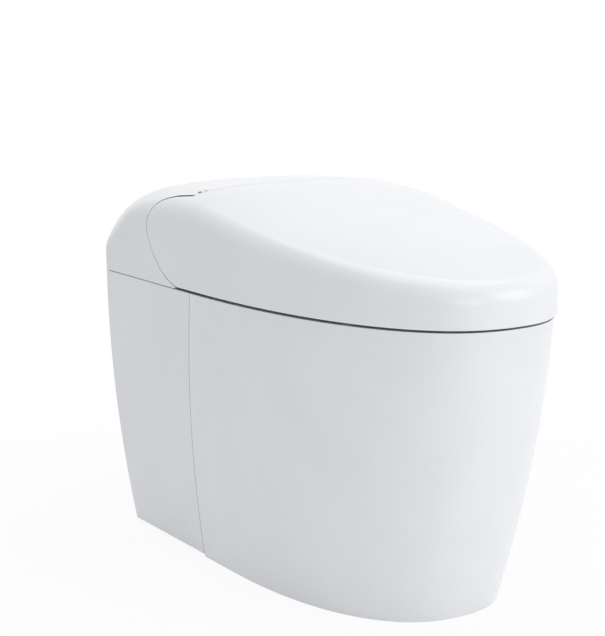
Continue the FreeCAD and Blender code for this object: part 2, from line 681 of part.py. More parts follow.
def seat_shell():
    shell = seat_form(0, seat_bottom()).cut(seat_tunnel(0))
    shell = shell.cut(seat_form(S.seat_wall, seat_bottom() - 5).cut(seat_tunnel(S.seat_wall)))
    low = S.seat_back_height - S.seat_wall + 0.3
    slope = S.hub_radius - 1.5
    arm = [(S.seat_back - 30, low), (S.seat_back - 2, low), (S.hinge_depth + slope, S.hinge_height - slope),
           (S.hinge_depth - slope, S.hinge_height + slope)]
    for side in (-1, 1):
        start = S.hub_start if side > 0 else -S.hub_start - S.hub_width
        shell = shell.fuse(polygon_prism(arm, start, start + S.hub_width))
        shell = shell.fuse(hinge_rod(S.hub_radius, start, start + S.hub_width))
    return shell.cut(hinge_rod(S.shaft_radius + S.running_fit, -S.shaft_end, S.shaft_end))


def seat_base():
    """The pan that closes the seat from below, stepped over the tunnel."""
    low = block(-FAR, FAR, -FAR, FAR, 0, seat_bottom() + S.seat_wall)
    return seat_form(S.seat_wall + 0.2, seat_bottom()).cut(seat_tunnel(S.seat_wall + 0.2)).common(low)


def seat_heater():
    """The heating foil, close under the seat's top skin."""
    top = seat_form(S.seat_wall + 0.2, seat_bottom() + S.seat_wall + 2)
    under = seat_form(S.seat_wall + 0.2 + S.heater_thickness, seat_bottom())
    high = block(-FAR, FAR, -FAR, FAR, S.seat_front_height - S.seat_round, 2 * FAR)
    return top.cut(under).cut(seat_tunnel(S.seat_wall + 4)).common(high)


# ---------- spray wand, which slides down its slope into the bowl ----------

def wand_way(along, up=0.0):
    """A point on the wand's line: along is counted up the slope from its front end."""
    slope = math.radians(S.wand_slope)
    return V(0, S.wand_front + along * math.cos(slope) - up * math.sin(slope),
             S.wand_height + along * math.sin(slope) + up * math.cos(slope))


def wand_rod(radius, start, end):
    return Part.makeCylinder(radius, end - start, wand_way(start), wand_way(1) - wand_way(0))


def on_wand(shape):
    """Turn a shape that was drawn along +Y onto the wand's line."""
    shape.rotate(V(0, 0, 0), V(1, 0, 0), S.wand_slope)
    shape.translate(wand_way(0))
    return shape


def rack_top():
    return S.wand_radius + S.pinion_module


def tooth_pitch():
    return math.pi * S.pinion_module


def tooth():
    """Half a straight-flanked tooth's width at its root and at its tip."""
    return tooth_pitch() * S.tooth_root_share / 2, tooth_pitch() * S.tooth_tip_share / 2


def spray_wand():
    """The tube with its toothed rack along the top."""
    half = S.rack_half_width
    tube = rod("Y", S.wand_radius, S.wand_length - S.cap_length, 0, S.cap_length, 0)
    tube = tube.cut(rod("Y", S.wand_bore, S.wand_length, 0, 0, 0))
    rail = block(-half, half, S.cap_length + 2, S.wand_length, 0, rack_top() - S.pinion_module)
    rail = rail.cut(rod("Y", S.wand_radius - 1, S.wand_length, 0, 0, 0))
    teeth = [rail]
    wide, narrow = tooth()
    count = int((S.wand_travel + 20) / tooth_pitch())
    root = rack_top() - S.pinion_module - 0.1
    tip = rack_top() + S.pinion_module * S.tooth_addendum
    for number in range(count):
        middle = rack_phase() + (number - 2) * tooth_pitch()
        outline = [(middle - wide, root), (middle + wide, root),
                   (middle + narrow, tip), (middle - narrow, tip)]
        if S.cap_length + 3 < middle - wide and middle + wide < S.wand_length - 1:
            teeth.append(polygon_prism(outline, -half, half))
    return on_wand(tube.fuse(teeth).removeSplitter())


def rack_phase():
    """A tooth of the rack stands half a pitch from the pinion's lowest tooth."""
    return S.pinion_place - tooth_pitch() / 2


def wand_tip():
    """The nozzle head: a rounded cap with its rows of jets on top."""
    cap = rod("Y", S.wand_radius, S.cap_length, 0, 0, 0)
    front = [edge for edge in cap.Edges if edge.BoundBox.YMax < S.touch_gap]
    cap = cap.makeFillet(3, front)
    for row in range(3):
        cap = cap.cut(rod("Z", 0.9, 12, (row - 1) * 3, 7, 0))
    cap = cap.cut(rod("Y", S.wand_bore, S.cap_length, 0, S.cap_length - 6, 0))
    return on_wand(cap)


def wand_guide():
    """The channel that the wand runs in, open above the rack for the pinion."""
    half = S.guide_half_width
    body = block(-half, half, 12, 12 + S.guide_length, -S.wand_radius - 3, half - 2)
    body = body.cut(rod("Y", S.wand_radius + S.guide_clearance, FAR, 0, 0, 0))
    body = body.cut(block(-3.5, 3.5, 0, FAR, 0, FAR))
    window = block(-half - 1, half + 1, S.pinion_place - 12, S.pinion_place + 12, S.wand_radius - 1, FAR)
    body = body.cut(window)
    body = on_wand(body)
    back = wand_way(S.guide_length - 10)
    foot = block(-8, 8, back.y - 8, back.y + 8, plate_top(), back.z)
    return body.fuse(foot.cut(wand_rod(S.wand_radius + S.guide_clearance, 0, FAR)))


def plate_top():
    return S.rim_height + S.plate_thickness


def pinion_centre():
    pitch_radius = S.pinion_module * S.pinion_teeth / 2
    return wand_way(S.pinion_place, rack_top() + pitch_radius)


def wand_pinion():
    pitch_radius = S.pinion_module * S.pinion_teeth / 2
    root = pitch_radius - S.pinion_module * S.tooth_dedendum
    tip = pitch_radius + S.pinion_module * S.tooth_addendum
    half = S.pinion_width / 2
    wide, narrow = tooth()
    wheel = rod("X", root, S.pinion_width, -half, 0, 0)
    for number in range(int(S.pinion_teeth)):
        outline = [(-wide, -root + 0.4), (wide, -root + 0.4), (narrow, -tip), (-narrow, -tip)]
        blade = polygon_prism(outline, -half, half)
        blade.rotate(V(0, 0, 0), V(1, 0, 0), 360 / S.pinion_teeth * number + S.wand_slope)
        wheel = wheel.fuse(blade)
    wheel = wheel.fuse(rod("X", 2, S.guide_half_width - S.touch_gap, 0, 0, 0))
    wheel.translate(pinion_centre())
    return wheel.removeSplitter()


def wand_motor():
    centre = pinion_centre()
    return rod("X", S.guide_half_width - 2, 24, S.guide_half_width, centre.y, centre.z)


# ---------- buffers, lenses, hoses and clips ----------

def seat_top_line(up):
    """Room above the seat's sloping top."""
    half = S.body_length / 2
    nose = S.lid_overhang + S.seat_inset - half
    return polygon_prism([(nose - 5, S.seat_front_height + up), (S.seat_back + 5, S.seat_back_height + up),
                          (S.seat_back + 5, 2 * FAR), (nose - 5, 2 * FAR)], -FAR, FAR)


def lid_buffers():
    """Four soft stops that hang from the liner and end just above the seat."""
    room = seat_top_line(S.touch_gap).common(liner_space(S.liner_wall))
    places = [(side * x, y) for side in (-1, 1) for x, y in ((S.lid_buffer_side, S.buffer_front),
                                                             (S.lid_buffer_side + 18, 0))]
    return Part.makeCompound([rod("Z", S.lid_buffer_radius, FAR, x, y, 200).common(room) for x, y in places])


def seat_buffers():
    places = [(side * x, y) for side in (-1, 1) for x, y in ((S.buffer_side, S.buffer_front),
                                                             (S.buffer_side + 14, S.buffer_rear))]
    low = S.rim_height + S.touch_gap
    return Part.makeCompound([rod("Z", S.buffer_radius, seat_bottom() - low, x, y, low) for x, y in places])


def top_lens(side):
    """A small round lens that follows the casing's skin."""
    skin = upper_form(0, S.rim_height + S.casing_gap).cut(upper_form(S.casing_wall, S.rim_height - 30))
    return rod("Z", S.window_radius, 60, side, S.window_depth, S.hinge_height - 20).common(skin)


def hose(kind):
    return hose_run(kind, S.hose_radius).cut(hose_run(kind, S.hose_bore))


def panel_clips():
    """Blocks on the panels' inner skin that hook under the ceramic deck."""
    top = S.rim_height - S.deck_depth
    inside = skirt_form(S.panel_wall)
    clips = []
    for number in range(3):
        y = S.clip_first + number * S.clip_pitch
        bar = block(-FAR, FAR, y, y + S.clip_size, top - S.clip_size, top).common(inside)
        edge = S.half_width - S.panel_wall - S.clip_size - 4
        clips += bar.cut(block(-edge, edge, 0, FAR, 0, FAR)).Solids
    return Part.makeCompound(clips)


def screws(x_y_places, top):
    made = []
    for x, y in x_y_places:
        head = rod("Z", 2 * S.screw_radius, 2, x, y, top)
        made.append(head.fuse(rod("Z", S.screw_radius, screw_length(), x, y, top + 1 - screw_length())))
    return Part.makeCompound(made)


# ---------- bodies made from sketches ----------

def base_plate():
    body = doc.addObject("PartDesign::Body", "base_plate_body")
    outline = sketch_on(body, "XY_Plane", "plate_outline", "rim_height")
    rectangle(outline, "-plate_half_width", "plate_half_width", "plate_front", "plate_back")
    pad(body, outline, "plate_thickness")
    holes = sketch_on(body, "XY_Plane", "plate_holes", "rim_height")
    for x in ("screw_side", "-screw_side"):
        for y in ("top_seam+8", "plate_back-12"):
            circle(holes, "screw_radius", x, y)
    pocket(body, holes, "plate_thickness+1", True)
    return body


def hinge_bracket():
    """Upright plate inside the nose, with an eye for the hinge shaft."""
    body = doc.addObject("PartDesign::Body", "bracket_body")
    place_ = "hub_start-11"
    foot = sketch_on(body, "YZ_Plane", "bracket_foot", place_)
    rectangle(foot, "nose_front+16", "top_seam-6", "rim_height+plate_thickness", "nose_height-6")
    pad(body, foot, "4")
    neck = sketch_on(body, "YZ_Plane", "bracket_neck", place_)
    rectangle(neck, "neck_front+casing_wall+touch_gap", "hinge_depth-casing_wall+1.7", "nose_height-8",
              "hinge_height")
    pad(body, neck, "4")
    eye = sketch_on(body, "YZ_Plane", "bracket_eye", place_)
    circle(eye, "barrel_radius-casing_wall-touch_gap", "hinge_depth", "hinge_height")
    pad(body, eye, "4")
    bore = sketch_on(body, "YZ_Plane", "bracket_bore", place_)
    circle(bore, "shaft_radius+0.02", "hinge_depth", "hinge_height")
    pocket(body, bore, "5", True)
    return body


def impeller(name, radius, width, blades, tail, turn, x, y, z):
    """Squirrel-cage wheel: a back disc, a hub and a ring of blades about a shaft."""
    body = doc.addObject("PartDesign::Body", name + "_body")
    disc = sketch_on(body, "XY_Plane", name + "_disc")
    circle(disc, radius)
    pad(body, disc, "1.5")
    hub = sketch_on(body, "XY_Plane", name + "_hub")
    circle(hub, "4")
    pad(body, hub, width)
    blade = sketch_on(body, "XY_Plane", name + "_blade")
    rectangle(blade, "%s-6" % radius, "%s-0.2" % radius, "-0.6", "0.6")
    blade_pad = pad(body, blade, width)
    ring = body.newObject("PartDesign::PolarPattern", name + "_ring")
    ring.Originals = [blade_pad]
    ring.Axis = (disc, ["N_Axis"])
    ring.Angle = 360
    bind(ring, Occurrences=blades)
    body.Tip = ring
    shaft = sketch_on(body, "XY_Plane", name + "_shaft", "-(%s)" % tail)
    circle(shaft, "2")
    pad(body, shaft, "%s+1" % tail)
    body.Placement.Rotation = turn
    return place(body, x, y, z)


def control_board():
    body = doc.addObject("PartDesign::Body", "board_body")
    low = board_low()
    outline = sketch_on(body, "XY_Plane", "board_outline", low)
    rectangle(outline, "supply_side-board_width/2+3", "supply_side+board_width/2-3", board_front() + "+3",
              board_front() + "+board_depth-3")
    pad(body, outline, "board_thickness")
    parts = sketch_on(body, "XY_Plane", "board_parts", low)
    for x, y, wide, deep in (("-40", "14", "26", "18"), ("-6", "12", "14", "14"), ("20", "16", "22", "30"),
                             ("-34", "44", "18", "20")):
        rectangle(parts, "supply_side+(%s)" % x, "supply_side+(%s)+%s" % (x, wide),
                  "%s+%s" % (board_front(), y), "%s+%s+%s" % (board_front(), y, deep))
    pad(body, parts, "board_thickness+7")
    return body


def board_front():
    return "supply_front-8"


def board_low():
    return "rim_height+plate_thickness+supply_height+tray_wall"


def rear_cover():
    body = doc.addObject("PartDesign::Body", "cover_body")
    outline = sketch_on(body, "XZ_Plane", "cover_outline", "-(deck_back+cover_thickness)")
    side = "frame_half_gap+frame_wall-touch_gap"
    rectangle(outline, "-(%s)" % side, side, "cover_bottom", "cover_top")
    pad(body, outline, "cover_thickness")
    hole = sketch_on(body, "XZ_Plane", "cover_hole", "-(deck_back+cover_thickness)")
    circle(hole, "inlet_radius+3", "inlet_side", "inlet_height")
    pocket(body, hole, "cover_thickness+1", True)
    return body


# ---------- assembly ----------

def make_ceramic():
    piece("ceramic_body", feature("ceramic", ceramic_body()))
    left = piece("side_panel_left", feature("panel", side_panel()))
    piece("side_panel_right", mirror("panel_mirror", left))
    piece("panel_clips", feature("clips", panel_clips()))
    piece("rear_cover", rear_cover())
    seal_hole = cylinder("seal_hole", "Z", "trap_bore+trap_wall", "seal_height+2", "0", "outlet_depth", "-1")
    seal_ring = cylinder("seal_ring", "Z", "trap_bore+trap_wall+outlet_seal_width", "seal_height", "0",
                         "outlet_depth", "0")
    piece("outlet_seal", cut("seal", seal_ring, seal_hole))


def make_flushing():
    outer = box("tank_outer", ("tank_left", "frame_half_gap-touch_gap"), ("tank_front", "tank_back"),
                ("tank_bottom", "tank_top"))
    inner = box("tank_inner", ("tank_left+tank_wall", "frame_half_gap-touch_gap-tank_wall"),
                ("tank_front+tank_wall", "tank_back-tank_wall"),
                ("tank_bottom+tank_wall", "tank_top-tank_wall"))
    nipple = cylinder("tank_nipple", "X", "7", "tank_left-inlet_side-valve_body/2",
                      "inlet_side+valve_body/2", "deck_back-valve_body/2-18", "inlet_height")
    piece("flush_tank", cut("tank", fuse("tank_block", outer, nipple), inner))
    pump = cylinder("pump_can", "Z", "pump_radius", "pump_height-26", "pump_side", "pump_depth",
                    "tank_bottom-pump_height+26")
    volute = cylinder("pump_volute", "Z", "pump_radius", "24", "pump_side", "pump_depth",
                      "tank_bottom-pump_height")
    waist = cylinder("pump_waist", "Z", "pump_radius-6", "pump_height-2", "pump_side", "pump_depth",
                     "tank_bottom-pump_height+1")
    spout = box("pump_spout", ("pump_side-hose_radius-3", "pump_side+hose_radius+3"),
                ("pump_depth-pump_radius", "pump_depth"),
                ("tank_bottom-pump_height", "tank_bottom-pump_height+24"))
    piece("flush_pump", fuse("pump", pump, volute, waist, spout))
    piece("jet_hose", feature("jet", hose("jet")))
    piece("rim_hose", feature("rim", hose("rim")))
    bowl_end = "bowl_centre+0.87*bowl_half_length"
    nozzle = cylinder("nozzle_rod", "Y", "hose_radius-2", "14", "inlet_side", bowl_end + "-15.4",
                      "rim_height-51")
    nozzle_bore = cylinder("nozzle_bore", "Y", "hose_bore-2", "20", "inlet_side", bowl_end + "-17",
                           "rim_height-51")
    piece("rim_nozzle", cut("nozzle", nozzle, nozzle_bore))
    valve = box("valve_cube", ("inlet_side-valve_body/2", "inlet_side+valve_body/2"),
                ("deck_back-18-valve_body", "deck_back-18"),
                ("inlet_height-valve_body/2", "inlet_height+valve_body/2"))
    coil = cylinder("valve_coil", "X", "11", "18", "inlet_side-valve_body/2-18", "deck_back-18-valve_body/2",
                    "inlet_height")
    piece("inlet_valve", fuse("valve", valve, coil))
    thread = cylinder("inlet_thread", "Y", "inlet_radius", "inlet_end-deck_back+18", "inlet_side",
                      "deck_back-18", "inlet_height")
    flange = cylinder("inlet_flange", "Y", "inlet_radius+6", "3", "inlet_side", "deck_back-3",
                      "inlet_height")
    bore = cylinder("inlet_bore", "Y", "inlet_radius-4", "60", "inlet_side", "deck_back-19", "inlet_height")
    piece("water_inlet", cut("inlet", fuse("inlet_union", thread, flange), bore))


def make_unit():
    plate = "rim_height+plate_thickness"
    piece("base_plate", base_plate())
    piece("plate_screws", feature("plate_screw_group", screws(screw_places(), plate_top())))
    heater = cylinder("heater_can", "Y", "heater_radius", "heater_length", "heater_side", "heater_front",
                      plate + "+heater_radius")
    ports = [cylinder("heater_port_%d" % number, "Y", "4", "12", "heater_side", "heater_front-10",
                      plate + "+heater_radius+(%d)" % up) for number, up in enumerate((-10, 10))]
    piece("water_heater", fuse("heater", heater, *ports))
    block_ = box("valve_block_box", ("valve_side-valve_width/2", "valve_side+valve_width/2"),
                 ("valve_front", "valve_front+valve_depth"), (plate, plate + "+valve_height"))
    outlets = [cylinder("valve_outlet_%d" % number, "X", "4", "14", "valve_side+valve_width/2",
                        "valve_front+%d" % along, plate + "+valve_height/2") for number, along in
               enumerate((12, 30))]
    piece("valve_block", fuse("valve_block_union", block_, *outlets))
    piece("power_supply", box("supply", ("supply_side-supply_width/2", "supply_side+supply_width/2"),
                              ("supply_front", "supply_front+supply_depth"),
                              (plate, plate + "+supply_height")))
    tray_low = plate + "+supply_height"
    tray_outer = box("tray_outer", ("supply_side-board_width/2", "supply_side+board_width/2"),
                     ("supply_front-8", "supply_front-8+board_depth"), (tray_low, tray_low + "+tray_height"))
    tray_inner = box("tray_inner",
                     ("supply_side-board_width/2+tray_wall", "supply_side+board_width/2-tray_wall"),
                     ("supply_front-8+tray_wall", "supply_front-8+board_depth-tray_wall"),
                     (tray_low + "+tray_wall", tray_low + "+tray_height+1"))
    piece("board_tray", cut("tray", tray_outer, tray_inner))
    piece("control_board", control_board())
    wall_end = "body_length/2"
    gland = cylinder("gland_rod", "Y", "gland_radius", "gland_length", "gland_side",
                     wall_end + "-gland_length", "gland_height")
    collar = cylinder("gland_collar", "Y", "gland_radius+3", "3", "gland_side", wall_end + "-casing_wall-3",
                      "gland_height")
    gland_bore = cylinder("gland_bore", "Y", "cord_bore", "gland_length+2", "gland_side",
                          wall_end + "-gland_length-1", "gland_height")
    piece("cord_gland", cut("gland", fuse("gland_union", gland, collar), gland_bore))


def make_dryer():
    plate = "rim_height+plate_thickness"
    height = plate + "+fan_radius"
    low = "fan_side-fan_width/2"
    drum = cylinder("fan_drum", "X", "fan_radius", "fan_width", low, "fan_depth", height)
    hollow = cylinder("fan_hollow", "X", "fan_radius-fan_wall", "fan_width-2*fan_wall", low + "+fan_wall",
                      "fan_depth", height)
    intake = cylinder("fan_intake", "X", "14", "fan_wall+1", low + "-0.5", "fan_depth", height)
    shaft_hole = cylinder("fan_shaft_hole", "X", "2.3", "fan_wall+1", low + "+fan_width-fan_wall-0.5",
                          "fan_depth", height)
    duct_low = "flap_top-flap_height/2-duct_height/2"
    sides = ("flap_side-duct_width/2", "flap_side+duct_width/2")
    mouth = box("fan_mouth", ("flap_side-duct_width/2+4", "flap_side+duct_width/2-2"),
                ("fan_depth-fan_radius-1", "fan_depth-10"), (duct_low + "+2", duct_low + "+duct_height-2"))
    piece("dryer_housing", cut("fan_case", drum, hollow, intake, shaft_hole, mouth))
    duct = box("duct_outer", sides, ("nose_front+casing_wall", "fan_depth-10"),
               (duct_low, duct_low + "+duct_height"))
    duct_space = box("duct_inner", ("flap_side-duct_width/2+1.5", "flap_side+duct_width/2-1.5"),
                     ("nose_front", "fan_depth"), (duct_low + "+1.5", duct_low + "+duct_height-1.5"))
    duct_end = cylinder("duct_end", "X", "fan_radius", "fan_width+60", low + "-30", "fan_depth", height)
    piece("dryer_duct", cut("duct", duct, duct_space, duct_end))
    turn = FreeCAD.Rotation(V(0, 1, 0), -90)
    piece("dryer_impeller", impeller("dryer", "fan_radius-fan_wall-fan_gap-2", "fan_width-2*fan_wall-4",
                                     "blade_count", "10", turn, low + "+fan_width-fan_wall-1.5",
                                     "fan_depth", height))
    motor = cylinder("motor_can", "X", "fan_motor_radius", "fan_motor_length", low + "+fan_width",
                     "fan_depth", height)
    motor_bore = cylinder("motor_bore", "X", "2+running_fit", "12", low + "+fan_width-1", "fan_depth",
                          height)
    piece("dryer_motor", cut("motor", motor, motor_bore))
    piece("dryer_flap", feature("flap", dryer_flap()))


def make_odour_filter():
    plate = "rim_height+plate_thickness"
    can = cylinder("odour_can", "Z", "odour_radius", "odour_height", "odour_side", "odour_depth", plate)
    hollow = cylinder("odour_hollow", "Z", "odour_radius-2", "odour_height-4", "odour_side", "odour_depth",
                      plate + "+2")
    shaft_hole = cylinder("odour_hole", "Z", "2+running_fit", "4", "odour_side", "odour_depth", plate + "-1")
    exhaust = cylinder("odour_exhaust", "Z", "9", "4", "odour_side", "odour_depth",
                       plate + "+odour_height-3")
    piece("odour_housing", cut("odour", can, hollow, shaft_hole, exhaust))
    fan = impeller("odour_fan", "odour_radius-5", "odour_height-10", "12", "3.5", FreeCAD.Rotation(),
                   "odour_side", "odour_depth", plate + "+4")
    piece("odour_fan", fan)
    low = plate + "+odour_height"
    piece("carbon_cartridge", box("cartridge", ("odour_side-18", "odour_side+18"),
                                  ("odour_depth-18", "odour_depth+18"), (low, low + "+cartridge_height")))


def make_hinges():
    bracket = piece("hinge_bracket_right", hinge_bracket())
    piece("hinge_bracket_left", mirror("bracket_mirror", bracket))
    shaft = cylinder("shaft", "X", "shaft_radius", "shaft_end-shaft_start", "shaft_start", "hinge_depth",
                     "hinge_height")
    piece("hinge_shaft_right", shaft)
    piece("hinge_shaft_left", mirror("shaft_mirror", shaft))
    can = cylinder("damper_can", "X", "barrel_radius-casing_wall-touch_gap", "hub_start-11-touch_gap-40",
                   "40", "hinge_depth", "hinge_height")
    socket = cylinder("damper_socket", "X", "shaft_radius+0.02", "hub_start", "shaft_start-touch_gap",
                      "hinge_depth", "hinge_height")
    damper = piece("seat_damper", cut("damper", can, socket))
    piece("lid_damper", mirror("damper_mirror", damper))


def make_controls():
    holder = box("holder_block", ("half_width-casing_wall-holder_depth", "half_width-casing_wall"),
                 ("button_place-holder_length/2", "button_place+holder_length/2"),
                 ("button_height-holder_height/2", "button_height+holder_height/2"))
    bores = []
    for name, side in (("flush_button", "-"), ("stop_button", "+")):
        y = "button_place%sbutton_pitch/2" % side
        start = "half_width-casing_wall-holder_depth+button_travel+0.5"
        key = cylinder(name + "_key", "X", "button_radius", "half_width-button_sunk-(%s)" % start, start, y,
                       "button_height")
        piece(name, key)
        bores.append(cylinder(name + "_bore", "X", "button_radius+0.2", "holder_depth+2",
                              "half_width-casing_wall-holder_depth-1", y, "button_height"))
    piece("button_holder", cut("holder", holder, *bores))
    piece("receiver_window", feature("window_lens", top_lens(S.window_side)))
    piece("status_lamp", feature("lamp_lens", top_lens(S.lamp_side)))
    piece("night_light", box("night_lens", ("-flap_side-8", "-flap_side+8"),
                             ("nose_front", "nose_front+casing_wall"), ("rim_height+22", "rim_height+30")))


def make_wand():
    for label, build in (("wand_guide", wand_guide), ("spray_wand", spray_wand), ("wand_tip", wand_tip),
                         ("wand_pinion", wand_pinion), ("wand_motor", wand_motor)):
        piece(label, feature(label + "_form", build()))


def make_shells():
    for label, build in (("upper_casing", upper_casing), ("lid_shell", lid_shell), ("lid_liner", lid_liner),
                         ("lid_buffers", lid_buffers), ("seat_shell", seat_shell), ("seat_base", seat_base),
                         ("seat_heater", seat_heater), ("seat_buffers", seat_buffers)):
        piece(label, feature(label + "_form", build()))


make_ceramic()
make_flushing()
make_unit()
make_dryer()
make_odour_filter()
make_hinges()
make_controls()
make_wand()
make_shells()
doc.recompute()

for obj in doc.Objects:
    if "Invalid" in obj.State or "Error" in obj.State:
        raise RuntimeError("%s failed: %s" % (obj.Name, obj.State))
for obj in pieces:
    if obj.Shape.isNull() or not obj.Shape.isValid() or obj.Shape.Volume <= 0:
        raise RuntimeError("%s has no valid solid" % obj.Label)

os.makedirs("parts", exist_ok=True)
for obj in pieces:
    obj.Shape.exportStep("parts/%s.step" % obj.Label)
    print("%-20s %3d solid %12.0f mm3" % (obj.Label, len(obj.Shape.Solids), obj.Shape.Volume))
print(len(pieces), "sub-parts")
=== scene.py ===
import bmesh
import bpy
import json
import math
from mathutils import Matrix, Vector


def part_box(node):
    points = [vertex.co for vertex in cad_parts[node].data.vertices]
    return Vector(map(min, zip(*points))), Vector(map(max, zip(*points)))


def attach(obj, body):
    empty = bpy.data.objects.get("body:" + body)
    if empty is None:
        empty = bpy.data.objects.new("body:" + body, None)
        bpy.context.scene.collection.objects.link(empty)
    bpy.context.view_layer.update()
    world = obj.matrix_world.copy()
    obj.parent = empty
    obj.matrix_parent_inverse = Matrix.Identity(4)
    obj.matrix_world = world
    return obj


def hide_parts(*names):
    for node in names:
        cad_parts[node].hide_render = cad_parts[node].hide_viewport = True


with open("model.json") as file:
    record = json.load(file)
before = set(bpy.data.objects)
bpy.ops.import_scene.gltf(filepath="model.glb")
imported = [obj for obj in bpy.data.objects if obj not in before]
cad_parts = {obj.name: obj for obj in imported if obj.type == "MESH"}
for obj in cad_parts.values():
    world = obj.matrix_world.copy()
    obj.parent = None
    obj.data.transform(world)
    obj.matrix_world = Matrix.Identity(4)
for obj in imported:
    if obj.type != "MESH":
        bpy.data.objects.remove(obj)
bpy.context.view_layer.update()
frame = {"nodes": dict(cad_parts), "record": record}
MM = 0.001
ROUND = math.tau
FROM_Y = Matrix.Rotation(-ROUND / 4, 4, "Z")  # a new circle starts on Y, and the pieces start on X
ALONG_X, ALONG_Y, TO_FRONT, UP = (1, 0, 0), (0, 1, 0), (0, -1, 0), (0, 0, 1)
SUNK = 0.1  # how deep in mm a fitting's foot sits in what carries it, so that no slit shows

# ---------- camera: the viewing angle, distance and framing of the photograph ----------

VIEW_AZIMUTH = math.radians(-33.8)
VIEW_ELEVATION = math.radians(12.8)
VIEW_DISTANCE = 2.247
LOOK_AT = Vector((0, 0.0025, 0.25))
LENS = 92.9
FRAME_SHIFT = (-0.074, 0.110)

camera_data = bpy.data.cameras.new("camera")
camera_data.lens = LENS
camera_data.shift_x, camera_data.shift_y = FRAME_SHIFT
camera = bpy.data.objects.new("camera", camera_data)
bpy.context.scene.collection.objects.link(camera)
backwards = Vector((math.sin(VIEW_AZIMUTH) * math.cos(VIEW_ELEVATION),
                    -math.cos(VIEW_AZIMUTH) * math.cos(VIEW_ELEVATION), math.sin(VIEW_ELEVATION)))
camera.location = LOOK_AT + backwards * VIEW_DISTANCE
camera.rotation_mode = "QUATERNION"
camera.rotation_quaternion = (-backwards).to_track_quat("-Z", "Y")
bpy.context.scene.camera = camera
bpy.context.scene.view_settings.view_transform = "Standard"


# ---------- materials ----------

def linear(hex_colour):
    """An sRGB hex colour as the linear colour that a shader takes."""
    channels = [int(hex_colour[i:i + 2], 16) / 255 for i in (0, 2, 4)]
    return [c / 12.92 if c <= 0.04045 else ((c + 0.055) / 1.055) ** 2.4 for c in channels] + [1]


def add(tree, kind, sockets=None, **settings):
    """Adds a node with its settings. A socket takes a value, or (node, output) for a link."""
    node = tree.nodes.new("ShaderNode" + kind)
    for name, value in settings.items():
        setattr(node, name, value)
    for socket, value in (sockets or {}).items():
        if isinstance(value, tuple) and isinstance(value[0], bpy.types.Node):
            tree.links.new(value[0].outputs[value[1]], node.inputs[socket])
        else:
            node.inputs[socket].default_value = value
    return node


def surface(name, **shader):
    """A material, its node tree, the node of the piece's own coordinates, and its shader."""
    made = bpy.data.materials.new(name)
    made.use_nodes = True
    tree = made.node_tree
    tree.nodes.clear()
    place = add(tree, "TexCoord")
    values = {key.replace("_", " "): value for key, value in shader.items()}
    bsdf = add(tree, "BsdfPrincipled", values)
    add(tree, "OutputMaterial", {"Surface": (bsdf, "BSDF")})
    return made, tree, place, bsdf


def per_metre(millimetres):
    """A texture's scale for a pattern of that size."""
    return 1 / (millimetres * MM)


WAVE_UNIT = 20  # radians of a wave texture in one unit of its scale


def wave_scale(millimetres):
    """A wave texture's scale for crests that far apart."""
    return per_metre(millimetres) * ROUND / WAVE_UNIT


def two_tones(tree, bsdf, pattern, *stops):
    """Colours the shader from one hex shade to another between two values of a pattern."""
    shade = add(tree, "ValToRGB", {"Fac": (pattern, "Fac")})
    for element, (position, colour) in zip(shade.color_ramp.elements, stops):
        element.position = position
        element.color = linear(colour)
    tree.links.new(shade.outputs["Color"], bsdf.inputs["Base Color"])


def mottle(tree, place, bsdf, size, dark, light, detail=3):
    """Colour that drifts between two shades in patches of the given size in mm."""
    noise = add(tree, "TexNoise", {"Vector": (place, "Object"), "Scale": per_metre(size), "Detail": detail})
    two_tones(tree, bsdf, noise, (0.35, dark), (0.65, light))


def grain(tree, place, bsdf, size, height, detail, low, high, stretch=(1, 1, 1)):
    """Relief of the given grain size and height in mm, with a roughness from low to high that follows it."""
    drawn = add(tree, "Mapping", {"Vector": (place, "Object"), "Scale": stretch})
    noise = add(tree, "TexNoise", {"Vector": (drawn, "Vector"), "Scale": per_metre(size), "Detail": detail})
    bump = add(tree, "Bump", {"Height": (noise, "Fac"), "Distance": height * MM, "Strength": 1.0})
    tree.links.new(bump.outputs["Normal"], bsdf.inputs["Normal"])
    gloss = add(tree, "MapRange", {"Value": (noise, "Fac"), "To Min": low, "To Max": high})
    tree.links.new(gloss.outputs["Result"], bsdf.inputs["Roughness"])


def glazed_china():
    """Vitreous china under a thick clear glaze: deep gloss with a slow ripple about 25 mm long, which
    bends reflections at the edges, and a faint drift of tone where the glaze pooled."""
    made, tree, place, bsdf = surface("glazed_vitreous_china", IOR=1.52, Coat_Weight=0.35,
                                      Coat_Roughness=0.05)
    mottle(tree, place, bsdf, 90, "EFF0F2", "F2F3F5")
    grain(tree, place, bsdf, 25, 0.02, 1, 0.16, 0.24)
    return made


def gloss_abs():
    """White ABS from a polished mould: even gloss with a fine orange-peel about 4 mm across."""
    made, tree, place, bsdf = surface("gloss_moulded_abs", IOR=1.5)
    mottle(tree, place, bsdf, 140, "F1F2F4", "F4F5F7")
    grain(tree, place, bsdf, 4, 0.004, 2, 0.2, 0.28)
    return made


def seat_polypropylene():
    """Antibacterial polypropylene of the seat: white, softer in gloss than the lid."""
    made, tree, place, bsdf = surface("satin_moulded_polypropylene", IOR=1.49, Subsurface_Weight=0.04,
                                      Subsurface_Scale=0.004)
    mottle(tree, place, bsdf, 110, "EFF0F1", "F3F4F4")
    grain(tree, place, bsdf, 3, 0.005, 2, 0.28, 0.36)
    return made


def grained_plastic(name, dark, light):
    """Moulded housing with a spark-eroded skin: its 0.4 mm pits are drawn at 1.5 mm so that they show."""
    made, tree, place, bsdf = surface(name, IOR=1.5)
    mottle(tree, place, bsdf, 30, dark, light)
    grain(tree, place, bsdf, 1.5, 0.05, 3, 0.45, 0.62)
    return made


